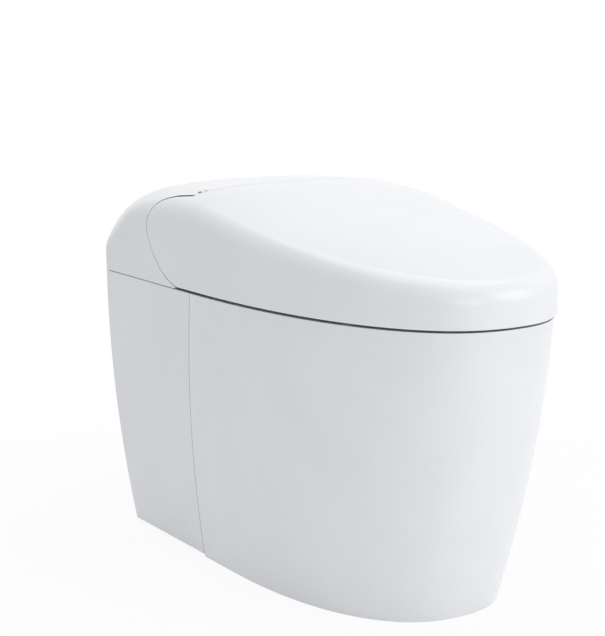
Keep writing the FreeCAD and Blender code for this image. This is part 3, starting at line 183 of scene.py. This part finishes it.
def natural_polypropylene():
    """Unpigmented polypropylene: milky, a little see-through in thin walls, with flow clouds."""
    made, tree, place, bsdf = surface("natural_polypropylene", IOR=1.49, Subsurface_Weight=0.25,
                                      Subsurface_Scale=0.006)
    mottle(tree, place, bsdf, 45, "DCDAD2", "EAE8E0", 4)
    grain(tree, place, bsdf, 6, 0.02, 2, 0.32, 0.5)
    return made


def rubber(name, dark, light):
    """Moulded rubber: matt, with a dusty bloom in 5 mm patches and a faint 1 mm grain."""
    made, tree, place, bsdf = surface(name, IOR=1.52, Sheen_Weight=0.1)
    mottle(tree, place, bsdf, 5, dark, light, 5)
    grain(tree, place, bsdf, 1, 0.03, 2, 0.6, 0.8)
    return made


def brushed_steel():
    """Stainless steel brushed along the object's width: scratches 0.2 mm apart, drawn at 0.8 mm so that
    they show."""
    made, tree, place, bsdf = surface("brushed_stainless_steel", Metallic=1.0)
    mottle(tree, place, bsdf, 12, "A9ABAF", "C2C4C7")
    grain(tree, place, bsdf, 0.8, 0.02, 3, 0.22, 0.42, (0.04, 1, 1))
    return made


def zinc_plate():
    """Zinc-plated steel pressing: pale metal with crystal flowers about 6 mm across."""
    made, tree, place, bsdf = surface("zinc_plated_steel", Metallic=1.0)
    cells = add(tree, "TexVoronoi", {"Vector": (place, "Object"), "Scale": per_metre(6)})
    shade = add(tree, "Mix", {0: 0.35, 6: linear("B4B8BC"), 7: (cells, "Color")}, data_type="RGBA",
                blend_type="SOFT_LIGHT")
    tree.links.new(shade.outputs[2], bsdf.inputs["Base Color"])
    grain(tree, place, bsdf, 3, 0.01, 2, 0.3, 0.46)
    return made


def turned_brass():
    """Brass turned on a lathe: warm metal with tool rings along the inlet's axis. They are 0.5 mm apart and
    are drawn at 3 mm so that they show."""
    made, tree, place, bsdf = surface("turned_brass", Metallic=1.0, Roughness=0.27)
    mottle(tree, place, bsdf, 9, "B99550", "D6B56E")
    rings = add(tree, "TexWave", {"Vector": (place, "Object"), "Scale": wave_scale(3)},
                bands_direction="Y")
    bump = add(tree, "Bump", {"Height": (rings, "Fac"), "Distance": 0.03 * MM, "Strength": 1.0})
    tree.links.new(bump.outputs["Normal"], bsdf.inputs["Normal"])
    return made


def heating_foil():
    """Amber polyimide film with an etched heating track: lines 6 mm apart across the seat."""
    made, tree, place, bsdf = surface("polyimide_heating_film", IOR=1.7, Roughness=0.3)
    track = add(tree, "TexWave", {"Vector": (place, "Object"), "Scale": wave_scale(6), "Distortion": 2.0,
                                  "Detail": 0.0}, wave_profile="SIN")
    two_tones(tree, bsdf, track, (0.5, "B86A1E"), (0.56, "D9A05A"))
    return made


def circuit_board():
    """Fibreglass board under green solder mask: copper tracks show as paler lines about 3 mm apart."""
    made, tree, place, bsdf = surface("solder_masked_fibreglass", IOR=1.55, Roughness=0.35)
    tracks = add(tree, "TexBrick", {"Vector": (place, "Object"), "Scale": per_metre(3) / 4,
                                    "Color1": linear("12502F"), "Color2": linear("17633B"),
                                    "Mortar": linear("2E8A58"), "Mortar Size": 0.04})
    tree.links.new(tracks.outputs["Color"], bsdf.inputs["Base Color"])
    return made


def smoked_acrylic():
    """Infrared window of smoked acrylic: almost black with a polished face."""
    made, tree, place, bsdf = surface("smoked_acrylic", IOR=1.49)
    mottle(tree, place, bsdf, 3, "17181B", "1D1E22")
    grain(tree, place, bsdf, 2, 0.002, 1, 0.06, 0.12)
    return made


def frosted_polycarbonate():
    """Lens of frosted polycarbonate: bluish white, blurred by a fine 0.5 mm etch."""
    made, tree, place, bsdf = surface("frosted_polycarbonate", IOR=1.58, Transmission_Weight=0.35)
    mottle(tree, place, bsdf, 2, "DCE6EE", "E8EFF4")
    grain(tree, place, bsdf, 0.5, 0.01, 1, 0.3, 0.45)
    return made


def charcoal_granules():
    """Activated carbon behind a mesh: black grains 3 mm across with dull facets."""
    made, tree, place, bsdf = surface("activated_carbon", Roughness=0.85)
    cells = add(tree, "TexVoronoi", {"Vector": (place, "Object"), "Scale": per_metre(3)})
    shade = add(tree, "Mix", {0: 0.25, 6: linear("1C1C1D"), 7: (cells, "Color")}, data_type="RGBA",
                blend_type="SOFT_LIGHT")
    tree.links.new(shade.outputs[2], bsdf.inputs["Base Color"])
    bump = add(tree, "Bump", {"Height": (cells, "Distance"), "Distance": 1.2 * MM, "Strength": 1.0},
               invert=True)
    tree.links.new(bump.outputs["Normal"], bsdf.inputs["Normal"])
    return made


FINISHES = {
    "china": glazed_china(),
    "white_shell": gloss_abs(),
    "white_seat": seat_polypropylene(),
    "grey_plastic": grained_plastic("grey_grained_abs", "8F9195", "939599"),
    "dark_plastic": grained_plastic("black_glass_filled_nylon", "1E1E20", "2A2A2C"),
    "natural_plastic": natural_polypropylene(),
    "soft_rubber": rubber("grey_silicone_rubber", "BABCC0", "C6C8CB"),
    "black_rubber": rubber("black_nitrile_rubber", "161616", "222222"),
    "steel": brushed_steel(),
    "zinc_plate": zinc_plate(),
    "brass_part": turned_brass(),
    "heating_foil": heating_foil(),
    "board_green": circuit_board(),
    "smoked_lens": smoked_acrylic(),
    "clear_lens": frosted_polycarbonate(),
    "black_charcoal": charcoal_granules(),
}

for row in frame["record"]["subparts"]:
    mesh = frame["nodes"][row["node"]].data
    mesh.materials.clear()
    mesh.materials.append(FINISHES[row["material_slot"]])


# ---------- tools that build pieces in millimetres ----------

SHARP_ABOVE = math.radians(32)  # edges that turn by more than this stay crisp
WELD = 1e-3                     # points closer than this, in mm, are one


def piece(form, name, finish, body, *replaced):
    """Closes a form drawn in mm into a piece in metres, with its material, its body and what it replaces."""
    bmesh.ops.remove_doubles(form, verts=form.verts, dist=WELD)
    bmesh.ops.recalc_face_normals(form, faces=form.faces)
    bmesh.ops.scale(form, vec=(MM, MM, MM), verts=form.verts)
    mesh = bpy.data.meshes.new(name)
    form.to_mesh(mesh)
    form.free()
    mesh.shade_smooth()
    mesh.set_sharp_from_angle(angle=SHARP_ABOVE)
    mesh.materials.append(FINISHES[finish])
    made = bpy.data.objects.new(name, mesh)
    bpy.context.scene.collection.objects.link(made)
    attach(made, body)
    if replaced:
        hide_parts(*replaced)


def frame_of(axis):
    """A rotation that carries +Z onto the given direction."""
    return Vector(axis).normalized().to_track_quat("Z", "Y").to_matrix()


def turned(form, profile, centre, axis, steps=40):
    """A body of revolution: (radius, height) pairs spun round the axis, closed where they end on it."""
    turn = frame_of(axis)
    points = [form.verts.new(Vector(centre) + turn @ Vector((radius, 0, height)))
              for radius, height in profile]
    lines = [form.edges.new(pair) for pair in zip(points, points[1:])]
    bmesh.ops.spin(form, geom=points + lines, cent=centre, axis=axis, angle=ROUND, steps=steps,
                   use_merge=True)


def ring(form, profile, centre, axis, steps=40):
    """A closed ring: a loop of (radius, height) pairs swept round the axis."""
    turned(form, profile + profile[:1], centre, axis, steps)


def chamfered(form, low, high, edge=0.6, segments=2):
    """A moulded block between two corners, with rounded edges."""
    block = bmesh.ops.create_cube(form, size=1)["verts"]
    size = [b - a for a, b in zip(low, high)]
    bmesh.ops.scale(form, vec=size, verts=block)
    bmesh.ops.translate(form, vec=[(a + b) / 2 for a, b in zip(low, high)], verts=block)
    edges = list({e for v in block for e in v.link_edges})
    bmesh.ops.bevel(form, geom=edges, offset=min(edge, min(size) * 0.35), segments=segments, profile=0.5,
                    affect="EDGES", material=-1)


def tube(form, points, radius, steps=12):
    """A round wire or strap through the points, with flat ends."""
    loops = []
    for index, point in enumerate(points):
        before, after = points[max(index - 1, 0)], points[min(index + 1, len(points) - 1)]
        turn = frame_of(Vector(after) - Vector(before)).to_4x4()
        made = bmesh.ops.create_circle(form, cap_ends=index in (0, len(points) - 1), radius=radius,
                                       segments=steps, matrix=Matrix.Translation(point) @ turn @ FROM_Y)
        loops.append(list({edge for vert in made["verts"] for edge in vert.link_edges}))
    for low, high in zip(loops, loops[1:]):
        bmesh.ops.bridge_loops(form, edges=low + high)


def thread(form, radius, depth, pitch, turns, start, axis, steps=32):
    """A screw thread: a ridge of triangular section that climbs round the axis, with closed ends."""
    turn, count = frame_of(axis), int(turns * steps)
    root, half = radius - 0.2, 0.42 * pitch
    section = [form.verts.new(Vector(start) + turn @ Vector((out, 0, along)))
               for out, along in ((root, -half), (radius + depth, 0), (root, half))]
    ridge = form.faces.new(section)
    bmesh.ops.spin(form, geom=[ridge] + list(ridge.edges) + section, cent=start, axis=axis,
                   dvec=Vector(axis) * pitch / steps, angle=ROUND * count / steps, steps=count)


def pan_head(form, centre, axis, radius=3.4, height=2.2):
    """A pan-head screw's head with a raised cross, seated at the centre."""
    profile = [(0, 0), (radius, 0), (radius, height * 0.35), (radius * 0.93, height * 0.7),
               (radius * 0.72, height * 0.95), (radius * 0.5, height), (0, height)]
    turned(form, profile, centre, axis, 24)
    seat = Matrix.Translation(centre) @ frame_of(axis).to_4x4() @ Matrix.Translation((0, 0, height + 0.05))
    for angle in (0, ROUND / 4):
        bar = bmesh.ops.create_cube(form, size=1)["verts"]
        bmesh.ops.scale(form, vec=(radius * 1.1, radius * 0.2, 0.25), verts=bar)
        edges = list({e for v in bar for e in v.link_edges})
        rounded = bmesh.ops.bevel(form, geom=edges, offset=0.06, segments=1, profile=0.5, affect="EDGES",
                                  material=-1)
        bar = list({v for f in rounded["faces"] for v in f.verts})
        bmesh.ops.transform(form, matrix=seat @ Matrix.Rotation(angle, 4, "Z"), verts=bar)


def spring_clamp(form, centre, axis, radius):
    """A hose clamp: a flat wire ring with two bent ears."""
    ring(form, [(radius, -2), (radius + 1, -2), (radius + 1, 2), (radius, 2)], centre, axis, 32)
    turn = frame_of(axis)
    for side in (-1, 1):
        root = Vector(centre) + turn @ Vector((radius + 0.6, side * 1.4, 0))
        tip = Vector(centre) + turn @ Vector((radius + 5, side * 3, 0))
        tube(form, [root, (root + tip) / 2, tip], 0.9, 10)


def corners(node):
    """A node's lowest and highest corners in mm."""
    low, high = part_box(node)
    return [v / MM for v in low], [v / MM for v in high]


def middle(node):
    """The middle of a node's box in mm."""
    low, high = corners(node)
    return [(a + b) / 2 for a, b in zip(low, high)]


# ---------- buttons, window and lamps: what the hand and the eye meet ----------

def side_buttons():
    """Two round keys with a dished face and a raised rim ring, each in a bright bezel on the wall."""
    for node, body, name in (("flush_button", "flush_key", "flush_key_cap"),
                             ("stop_button", "stop_key", "stop_key_cap")):
        low, high = corners(node)
        seat = (low[0], middle(node)[1], middle(node)[2])
        edge, face = (high[1] - low[1]) / 2, high[0] - low[0]
        key = bmesh.new()
        turned(key, [(0, 0), (edge - 0.6, 0), (edge, 0.6), (edge, face - 1), (edge - 0.3, face - 0.3),
                     (edge - 0.9, face), (edge - 1.6, face - 0.1), (edge - 2, face - 0.45),
                     (edge - 3.6, face - 0.75), (edge - 5.2, face - 0.85), (0, face - 0.9)],
               seat, ALONG_X, 48)
        piece(key, name, "white_shell", body, node)
        bezel = bmesh.new()
        inner, outer = edge + 0.35, edge + 2
        ring(bezel, [(inner, face - 1.2), (inner, face + 0.25), (edge + 0.6, face + 0.6),
                     (edge + 1.5, face + 0.6), (outer, face + 0.2), (outer, face - 1.2)], seat, ALONG_X, 48)
        piece(bezel, name.replace("cap", "bezel"), "steel", "base")


def nose_trim():
    """A satin ring round the spray wand's opening in the casing's nose."""
    opening_centre = (0, 68, 398.2)
    trim = bmesh.new()
    ring(trim, [(8.8, -0.2), (8.8, 0.3), (9.1, 0.7), (10.2, 0.7), (10.8, 0.3), (10.8, -0.2)],
         opening_centre, TO_FRONT, 48)
    piece(trim, "wand_opening_ring", "steel", "base")


def top_lights():
    """The infrared window and the power lamp: domed lenses beside the top seam."""
    for node, name, finish in (("receiver_window", "receiver_lens", "smoked_lens"),
                               ("status_lamp", "status_lens", "clear_lens")):
        low, high = corners(node)
        edge, top = (high[0] - low[0]) / 2, high[2] - low[2]
        lens = bmesh.new()
        turned(lens, [(0, 0), (edge, 0), (edge, top - 0.6), (edge - 0.2, top - 0.25),
                      (edge - 0.7, top + 0.05), (edge - 1.4, top + 0.25), (0, top + 0.4)],
               (*middle(node)[:2], low[2]), UP, 36)
        piece(lens, name, finish, "base", node)


# ---------- the back: cover, inlet and cord gland ----------

def cover_louvres():
    """Two banks of nine louvres whose upper faces slope down to the cover, so that drips run off."""
    bank_offset, top_height, pitch = 46, 300, 9
    slat = (62, 2.6, 3.4)
    foot_reach, head_reach = 1.9, 0.1
    back = corners("rear_cover")[1][1]
    louvres = bmesh.new()
    for bank in (-bank_offset, bank_offset):
        for step in range(9):
            block = bmesh.ops.create_cube(louvres, size=1)["verts"]
            bmesh.ops.scale(louvres, vec=slat, verts=block)
            for vert in block:
                if vert.co.y > 0:
                    vert.co.y = foot_reach if vert.co.z < 0 else head_reach
            edges = list({e for v in block for e in v.link_edges})
            bmesh.ops.translate(louvres, vec=(bank, back - 0.5, top_height - step * pitch), verts=block)
            bmesh.ops.bevel(louvres, geom=edges, offset=0.35, segments=2, profile=0.5, affect="EDGES",
                            material=-1)
    piece(louvres, "rear_cover_louvres", "grey_plastic", "base")


def cover_screws():
    """Six screws down the two sides of the rear cover."""
    side_margin, end_margin = 9, 12
    low, high = corners("rear_cover")
    screws = bmesh.new()
    for x in (low[0] + side_margin, high[0] - side_margin):
        for z in (low[2] + end_margin, middle("rear_cover")[2], high[2] - end_margin):
            pan_head(screws, (x, high[1] - SUNK, z), ALONG_Y)
    piece(screws, "rear_cover_screws", "steel", "base")


def inlet_thread():
    """The half-inch pipe thread of the water inlet."""
    start_inside, turns = 11, 5.2
    x, _, z = middle("water_inlet")
    coil = bmesh.new()
    thread(coil, 10.3, 0.55, 1.8, turns, (x, corners("water_inlet")[1][1] - start_inside, z), ALONG_Y)
    piece(coil, "inlet_thread", "brass_part", "base")


def gland_ribs():
    """The cord gland: a collar inside the wall, a flange outside it, and a sleeve with two ribs."""
    bore, neck, collar = 3.6, 7.9, 11
    low, high = corners("cord_gland")
    x, _, z = middle("cord_gland")
    wall = high[1] - low[1]
    profile = [(bore, 0), (neck - 0.7, 0), (neck, 0.8), (neck, wall - 6), (collar, wall - 6),
               (collar, wall - 3.2), (neck, wall - 3.2), (neck, wall + 0.1), (9.4, wall + 0.1),
               (9.4, wall + 1), (8.8, wall + 1.6)]
    for rib in range(2):
        start = wall + 1.6 + rib * 3.2
        groove, crest = 6.4 - rib * 0.5, 7.8 - rib * 0.6
        profile += [(groove, start), (groove, start + 1), (crest, start + 1.4), (crest, start + 2.6)]
    profile += [(5.4, wall + 8.2), (4.2, wall + 8.4), (bore, wall + 8)]
    gland = bmesh.new()
    ring(gland, profile, (x, low[1], z), ALONG_Y, 40)
    piece(gland, "cord_gland_ribs", "dark_plastic", "base", "cord_gland")


# ---------- under the casing: fittings that show when it is lifted off ----------

def plate_fasteners():
    """Thread-forming screws through the base plate, with pan heads."""
    axis_inside, shank = 5, 1.7
    low, high = corners("plate_screws")
    point = low[2]
    top = corners("base_plate")[1][2]
    shafts = bmesh.new()
    for x in (low[0] + axis_inside, high[0] - axis_inside):
        for y in (low[1] + axis_inside, high[1] - axis_inside):
            turned(shafts, [(0, point), (1.2, point + 1.5), (shank, point + 3), (shank, top), (0, top)],
                   (x, y, 0), UP, 24)
            thread(shafts, shank, 0.45, 1.5, 4, (x, y, point + 3.5), UP, 20)
            pan_head(shafts, (x, y, top), UP, 4.8, 2.1)
    piece(shafts, "plate_screw_set", "steel", "base", "plate_screws")


def board_parts():
    """The control board: plate, chips with legs, capacitors, relays and plug sockets."""
    # x and y from the board's corner, then width, depth and height, in mm
    chips_with_legs = ((14, 12, 18, 18, 1.8), (42, 14, 10, 8, 1.6), (60, 34, 12, 7, 1.6))
    relays = ((82, 12, 14, 12, 8), (82, 30, 14, 12, 8), (8, 44, 22, 12, 6))
    # x and y, then radius and height
    capacitors = ((48, 46, 4, 6.5), (58, 52, 4, 6.5), (70, 50, 5, 6.8), (34, 30, 3, 5))
    board_thickness, hole_inside, leg_pitch = 1.6, 5, 2
    socket_pitch, pin_pitch = 17, 2.7
    low, high = corners("control_board")
    left, front, top = low[0], low[1], low[2] + board_thickness
    plate = bmesh.new()
    chamfered(plate, low, (high[0], high[1], top), 0.3)
    for x in (left + hole_inside, high[0] - hole_inside):
        for y in (front + hole_inside, high[1] - hole_inside):
            ring(plate, [(1.6, 0), (3, 0), (3, 0.25), (1.6, 0.25)], (x, y, top), UP, 20)
    for row in range(4):
        for column in range(7):
            x, y = left + 40 + column * 4, front + 48 + row * 4
            chamfered(plate, (x, y, top), (x + 2, y + 1.2, top + 0.7), 0.15, 1)
    piece(plate, "board_plate", "board_green", "base", "control_board")
    chips = bmesh.new()
    for x, y, wide, deep, tall in chips_with_legs + relays:
        chamfered(chips, (left + x, front + y, top + 0.3),
                  (left + x + wide, front + y + deep, top + 0.3 + tall * 0.8), 0.5)
    piece(chips, "board_chips", "dark_plastic", "base")
    metal = bmesh.new()
    for x, y, wide, deep, _ in chips_with_legs:
        for step in range(int(wide / leg_pitch) - 1):
            for side, out in ((0, -1.2), (deep, 1.2)):
                leg_x, leg_y = left + x + leg_pitch * (step + 1), front + y + side
                tube(metal, [(leg_x, leg_y, top + 0.9), (leg_x, leg_y + out / 2, top + 0.8),
                             (leg_x, leg_y + out, top + 0.1)], 0.25, 6)
    for x, y, can, tall in capacitors:
        turned(metal, [(0, 0), (can, 0), (can, 0.6), (can - 0.25, 0.9), (can, 1.2), (can, tall - 0.4),
                       (can - 0.4, tall), (can - 0.9, tall), (can - 1, tall - 0.2), (0, tall - 0.2)],
               (left + x, front + y, top), UP, 28)
    piece(metal, "board_capacitors", "steel", "base")
    sockets = bmesh.new()
    for index in range(5):
        x = left + 4 + index * socket_pitch
        chamfered(sockets, (x, high[1] - 8, top), (x + 13, high[1] - 1, top + 6), 0.4)
        for pin in range(4):
            slot = x + 1.6 + pin * pin_pitch
            chamfered(sockets, (slot, high[1] - 7, top + 6), (slot + 1.6, high[1] - 3, top + 6.6), 0.2, 1)
    piece(sockets, "board_sockets", "natural_plastic", "base")


def heater_fittings():
    """Two steel straps round the water heater and two terminals on its front end."""
    strap_inside, terminal_offset = 24, 8
    low, high = corners("water_heater")
    x, _, z = middle("water_heater")
    wall = (high[0] - low[0]) / 2
    straps = bmesh.new()
    for y in (low[1] + strap_inside, high[1] - strap_inside):
        ring(straps, [(wall + 0.05, -4), (wall + 0.8, -3.8), (wall + 0.8, 3.8), (wall + 0.05, 4)], (x, y, z),
             ALONG_Y, 56)
    for side in (-terminal_offset, terminal_offset):
        turned(straps, [(0, 0), (4, 0), (4, 1.4), (1.6, 1.6), (1.6, 6), (1.3, 6.4), (0, 6.4)],
               (x + side, low[1] + SUNK, z), TO_FRONT, 20)
    piece(straps, "heater_straps", "steel", "base")


def valve_coils():
    """Three solenoid coils on the valve block, each with its plug and a hexagon nut."""
    end_inside = 10
    low, high = corners("valve_block")
    coils, nuts = bmesh.new(), bmesh.new()
    for x in (low[0] + end_inside, middle("valve_block")[0], high[0] - end_inside):
        seat = (x, middle("valve_block")[1], high[2] - SUNK)
        turned(coils, [(0, 0), (6.5, 0), (7.6, 0.6), (7.6, 2), (7, 2.4), (7, 13.6), (7.6, 14), (7.6, 15.4),
                       (6.9, 16), (0, 16)], seat, UP, 36)
        chamfered(coils, (x - 3, seat[1] + 6, seat[2] + 4), (x + 3, seat[1] + 12, seat[2] + 12), 0.6)
        turned(nuts, [(0, 15.9), (4.4, 15.9), (4.4, 17.6), (3.8, 18.2), (2, 18.2), (2, 20.6), (1.6, 21),
                      (0, 21)], seat, UP, 6)
    piece(coils, "valve_coils", "dark_plastic", "base")
    piece(nuts, "valve_coil_nuts", "steel", "base")


def supply_fittings():
    """Cooling ribs on the power supply's front, and a row of six screw terminals at its side."""
    rib_pitch, terminal_pitch = 5.8, 8.4
    low, high = corners("power_supply")
    vents = bmesh.new()
    for step in range(14):
        x = low[0] + 8 + step * rib_pitch
        chamfered(vents, (x, low[1] - 1, low[2] + 8), (x + 2.4, low[1] + 0.3, high[2] - 8), 0.5)
    terminals = bmesh.new()
    for step in range(6):
        y = low[1] + 6 + step * terminal_pitch
        chamfered(vents, (low[0] - 7, y, low[2] + 6), (low[0] + 0.3, y + 7, low[2] + 15), 0.6)
        pan_head(terminals, (low[0] - 3.6, y + 3.5, low[2] + 15 - SUNK), UP, 2.2, 1.4)
    piece(vents, "supply_vents", "dark_plastic", "base")
    piece(terminals, "supply_terminals", "steel", "base")


def cartridge_grille():
    """Seven bars each way over the carbon cartridge, the upper ones laid across the lower."""
    bars, margin, width = 7, 0.5, 2
    low, high = corners("carbon_cartridge")
    top = high[2]
    grille = bmesh.new()
    for step in range(bars):
        x = low[0] + margin + step * (high[0] - low[0] - 3) / (bars - 1)
        chamfered(grille, (x, low[1] + margin, top - 0.2), (x + width, high[1] - margin, top + 1.2), 0.4)
        y = low[1] + margin + step * (high[1] - low[1] - 3) / (bars - 1)
        chamfered(grille, (low[0] + margin, y, top - 0.4), (high[0] - margin, y + width, top + 0.8), 0.4)
    piece(grille, "cartridge_grille", "natural_plastic", "base")


def dryer_motor_end():
    """The motor's end: a rim, a bearing boss with the shaft's end, and eight crimped dots round it."""
    dots, dot_circle = 8, 8
    low, high = corners("dryer_motor")
    _, y, z = middle("dryer_motor")
    edge = (high[1] - low[1]) / 2
    face = high[0] - SUNK
    end = bmesh.new()
    ring(end, [(edge - 1.6, -0.1), (edge - 0.3, -0.1), (edge - 0.3, 0.8), (edge - 1.6, 0.8)],
         (high[0], y, z), ALONG_X, 40)
    turned(end, [(0, 0), (4.2, 0), (4.2, 2), (3.6, 2.6), (1.5, 2.6), (1.5, 4.6), (1.2, 5), (0, 5)],
           (face, y, z), ALONG_X, 28)
    for step in range(dots):
        angle = ROUND * step / dots
        turned(end, [(0, 0), (1.4, 0), (1.4, 0.5), (1, 0.8), (0, 0.8)],
               (face, y + dot_circle * math.cos(angle), z + dot_circle * math.sin(angle)), ALONG_X, 14)
    piece(end, "dryer_motor_end", "steel", "base")


def pump_ribs():
    """Three ribs round the pump's body and six screws on its cover."""
    x, y = 50, 262
    wall, crest, rib_heights = 33.6, 35.4, (22, 34, 46)
    screws, screw_circle = 6, 28
    low, high = corners("flush_pump")
    ribs = bmesh.new()
    for height in rib_heights:
        ring(ribs, [(wall, -1.4), (crest, -0.9), (crest, 0.9), (wall, 1.4)], (x, y, low[2] + height), UP, 56)
    for step in range(screws):
        angle = ROUND * (step + 0.5) / screws
        seat = (x + screw_circle * math.cos(angle), y + screw_circle * math.sin(angle), high[2] - SUNK)
        pan_head(ribs, seat, UP, 2.6, 1.6)
    piece(ribs, "pump_ribs", "dark_plastic", "base")


def hose_clamps():
    """Spring clamps where the two flush hoses are pushed onto pump and valve."""
    hose_radius = 9.1
    clamps = bmesh.new()
    spring_clamp(clamps, (middle("rim_hose")[0], middle("inlet_valve")[1], corners("inlet_valve")[1][2] + 8),
                 UP, hose_radius)
    spring_clamp(clamps, (50, corners("jet_hose")[1][1] - 9, 29.5), ALONG_Y, hose_radius)
    piece(clamps, "hose_clamps", "steel", "base")


side_buttons()
nose_trim()
top_lights()
cover_louvres()
cover_screws()
inlet_thread()
gland_ribs()
plate_fasteners()
board_parts()
heater_fittings()
valve_coils()
supply_fittings()
cartridge_grille()
dryer_motor_end()
pump_ribs()
hose_clamps()


# ---------- studio: pale floor, white backdrop and soft lamps ----------

LAMP_AIM = Vector((0, 0, 0.3))
SURROUND_STRENGTH = 0.555
FLOOR_HALF_WIDTH = 60
SHADOW_REACH = 0.35     # metres from the middle, within which the floor shows its shadow most
WHITE_REACH = 1.3       # metres from the middle, beyond which the floor is plain white
WHITE_SHARE = 0.9       # how much of the floor's white is its own near the object


def seen_directly(tree):
    """A value of 1 for what the camera sees, also in metal and through glass."""
    path = add(tree, "LightPath")
    seen = add(tree, "Math", {0: (path, "Is Camera Ray"), 1: (path, "Is Glossy Ray")}, operation="MAXIMUM")
    return add(tree, "Math", {0: (seen, "Value"), 1: (path, "Is Transmission Ray")}, operation="MAXIMUM")


def backdrop_world():
    """A pale surround that lights softly, and shows as plain white behind the object."""
    world = bpy.data.worlds.new("studio")
    world.use_nodes = True
    bpy.context.scene.world = world
    tree = world.node_tree
    tree.nodes.clear()
    soft = add(tree, "Background", {"Color": linear("F2F4F8"), "Strength": SURROUND_STRENGTH})
    white = add(tree, "Background", {"Color": (1, 1, 1, 1), "Strength": 1.0})
    both = add(tree, "MixShader", {0: (seen_directly(tree), "Value"), 1: (soft, "Background"),
                                   2: (white, "Background")})
    add(tree, "OutputWorld", {"Surface": (both, "Shader")})


def soft_lamp(name, place, width, power):
    """A square white lamp that faces the middle of the object."""
    lamp = bpy.data.lights.new(name, "AREA")
    lamp.size = width
    lamp.energy = power
    holder = bpy.data.objects.new(name, lamp)
    bpy.context.scene.collection.objects.link(holder)
    holder.location = place
    holder.rotation_mode = "QUATERNION"
    holder.rotation_quaternion = (LAMP_AIM - Vector(place)).to_track_quat("-Z", "Y")


def studio_floor():
    """A wide matt sheet that keeps the object's soft shadow and fades to plain white around it."""
    form = bmesh.new()
    bmesh.ops.create_grid(form, x_segments=1, y_segments=1, size=FLOOR_HALF_WIDTH)
    mesh = bpy.data.meshes.new("floor")
    form.to_mesh(mesh)
    form.free()
    floor = bpy.data.objects.new("floor", mesh)
    bpy.context.scene.collection.objects.link(floor)
    made, tree, place, bsdf = surface("matt_white_paper", Roughness=0.9, Specular_IOR_Level=0.1)
    mottle(tree, place, bsdf, 400, "FBFBFC", "FFFFFF")
    reach = add(tree, "VectorMath", {0: (place, "Object")}, operation="LENGTH")
    fade = add(tree, "MapRange", {"Value": (reach, "Value"), "From Min": SHADOW_REACH,
                                  "From Max": WHITE_REACH, "To Min": WHITE_SHARE, "To Max": 1.0},
               interpolation_type="SMOOTHSTEP")
    share = add(tree, "Math", {0: (seen_directly(tree), "Value"), 1: (fade, "Result")}, operation="MULTIPLY")
    white = add(tree, "Emission", {"Color": (1, 1, 1, 1), "Strength": 1.0})
    both = add(tree, "MixShader", {0: (share, "Value"), 1: (bsdf, "BSDF"), 2: (white, "Emission")})
    sheet_output = next(node for node in tree.nodes if node.bl_idname == "ShaderNodeOutputMaterial")
    tree.links.new(both.outputs["Shader"], sheet_output.inputs["Surface"])
    mesh.materials.append(made)


backdrop_world()
studio_floor()
soft_lamp("key", (1.5, -2.3, 1.5), 1.6, 17)
soft_lamp("front", (-0.7, -2.85, 0.9), 1.2, 9)
soft_lamp("top", (0.2, 0.2, 2.6), 2.4, 23)
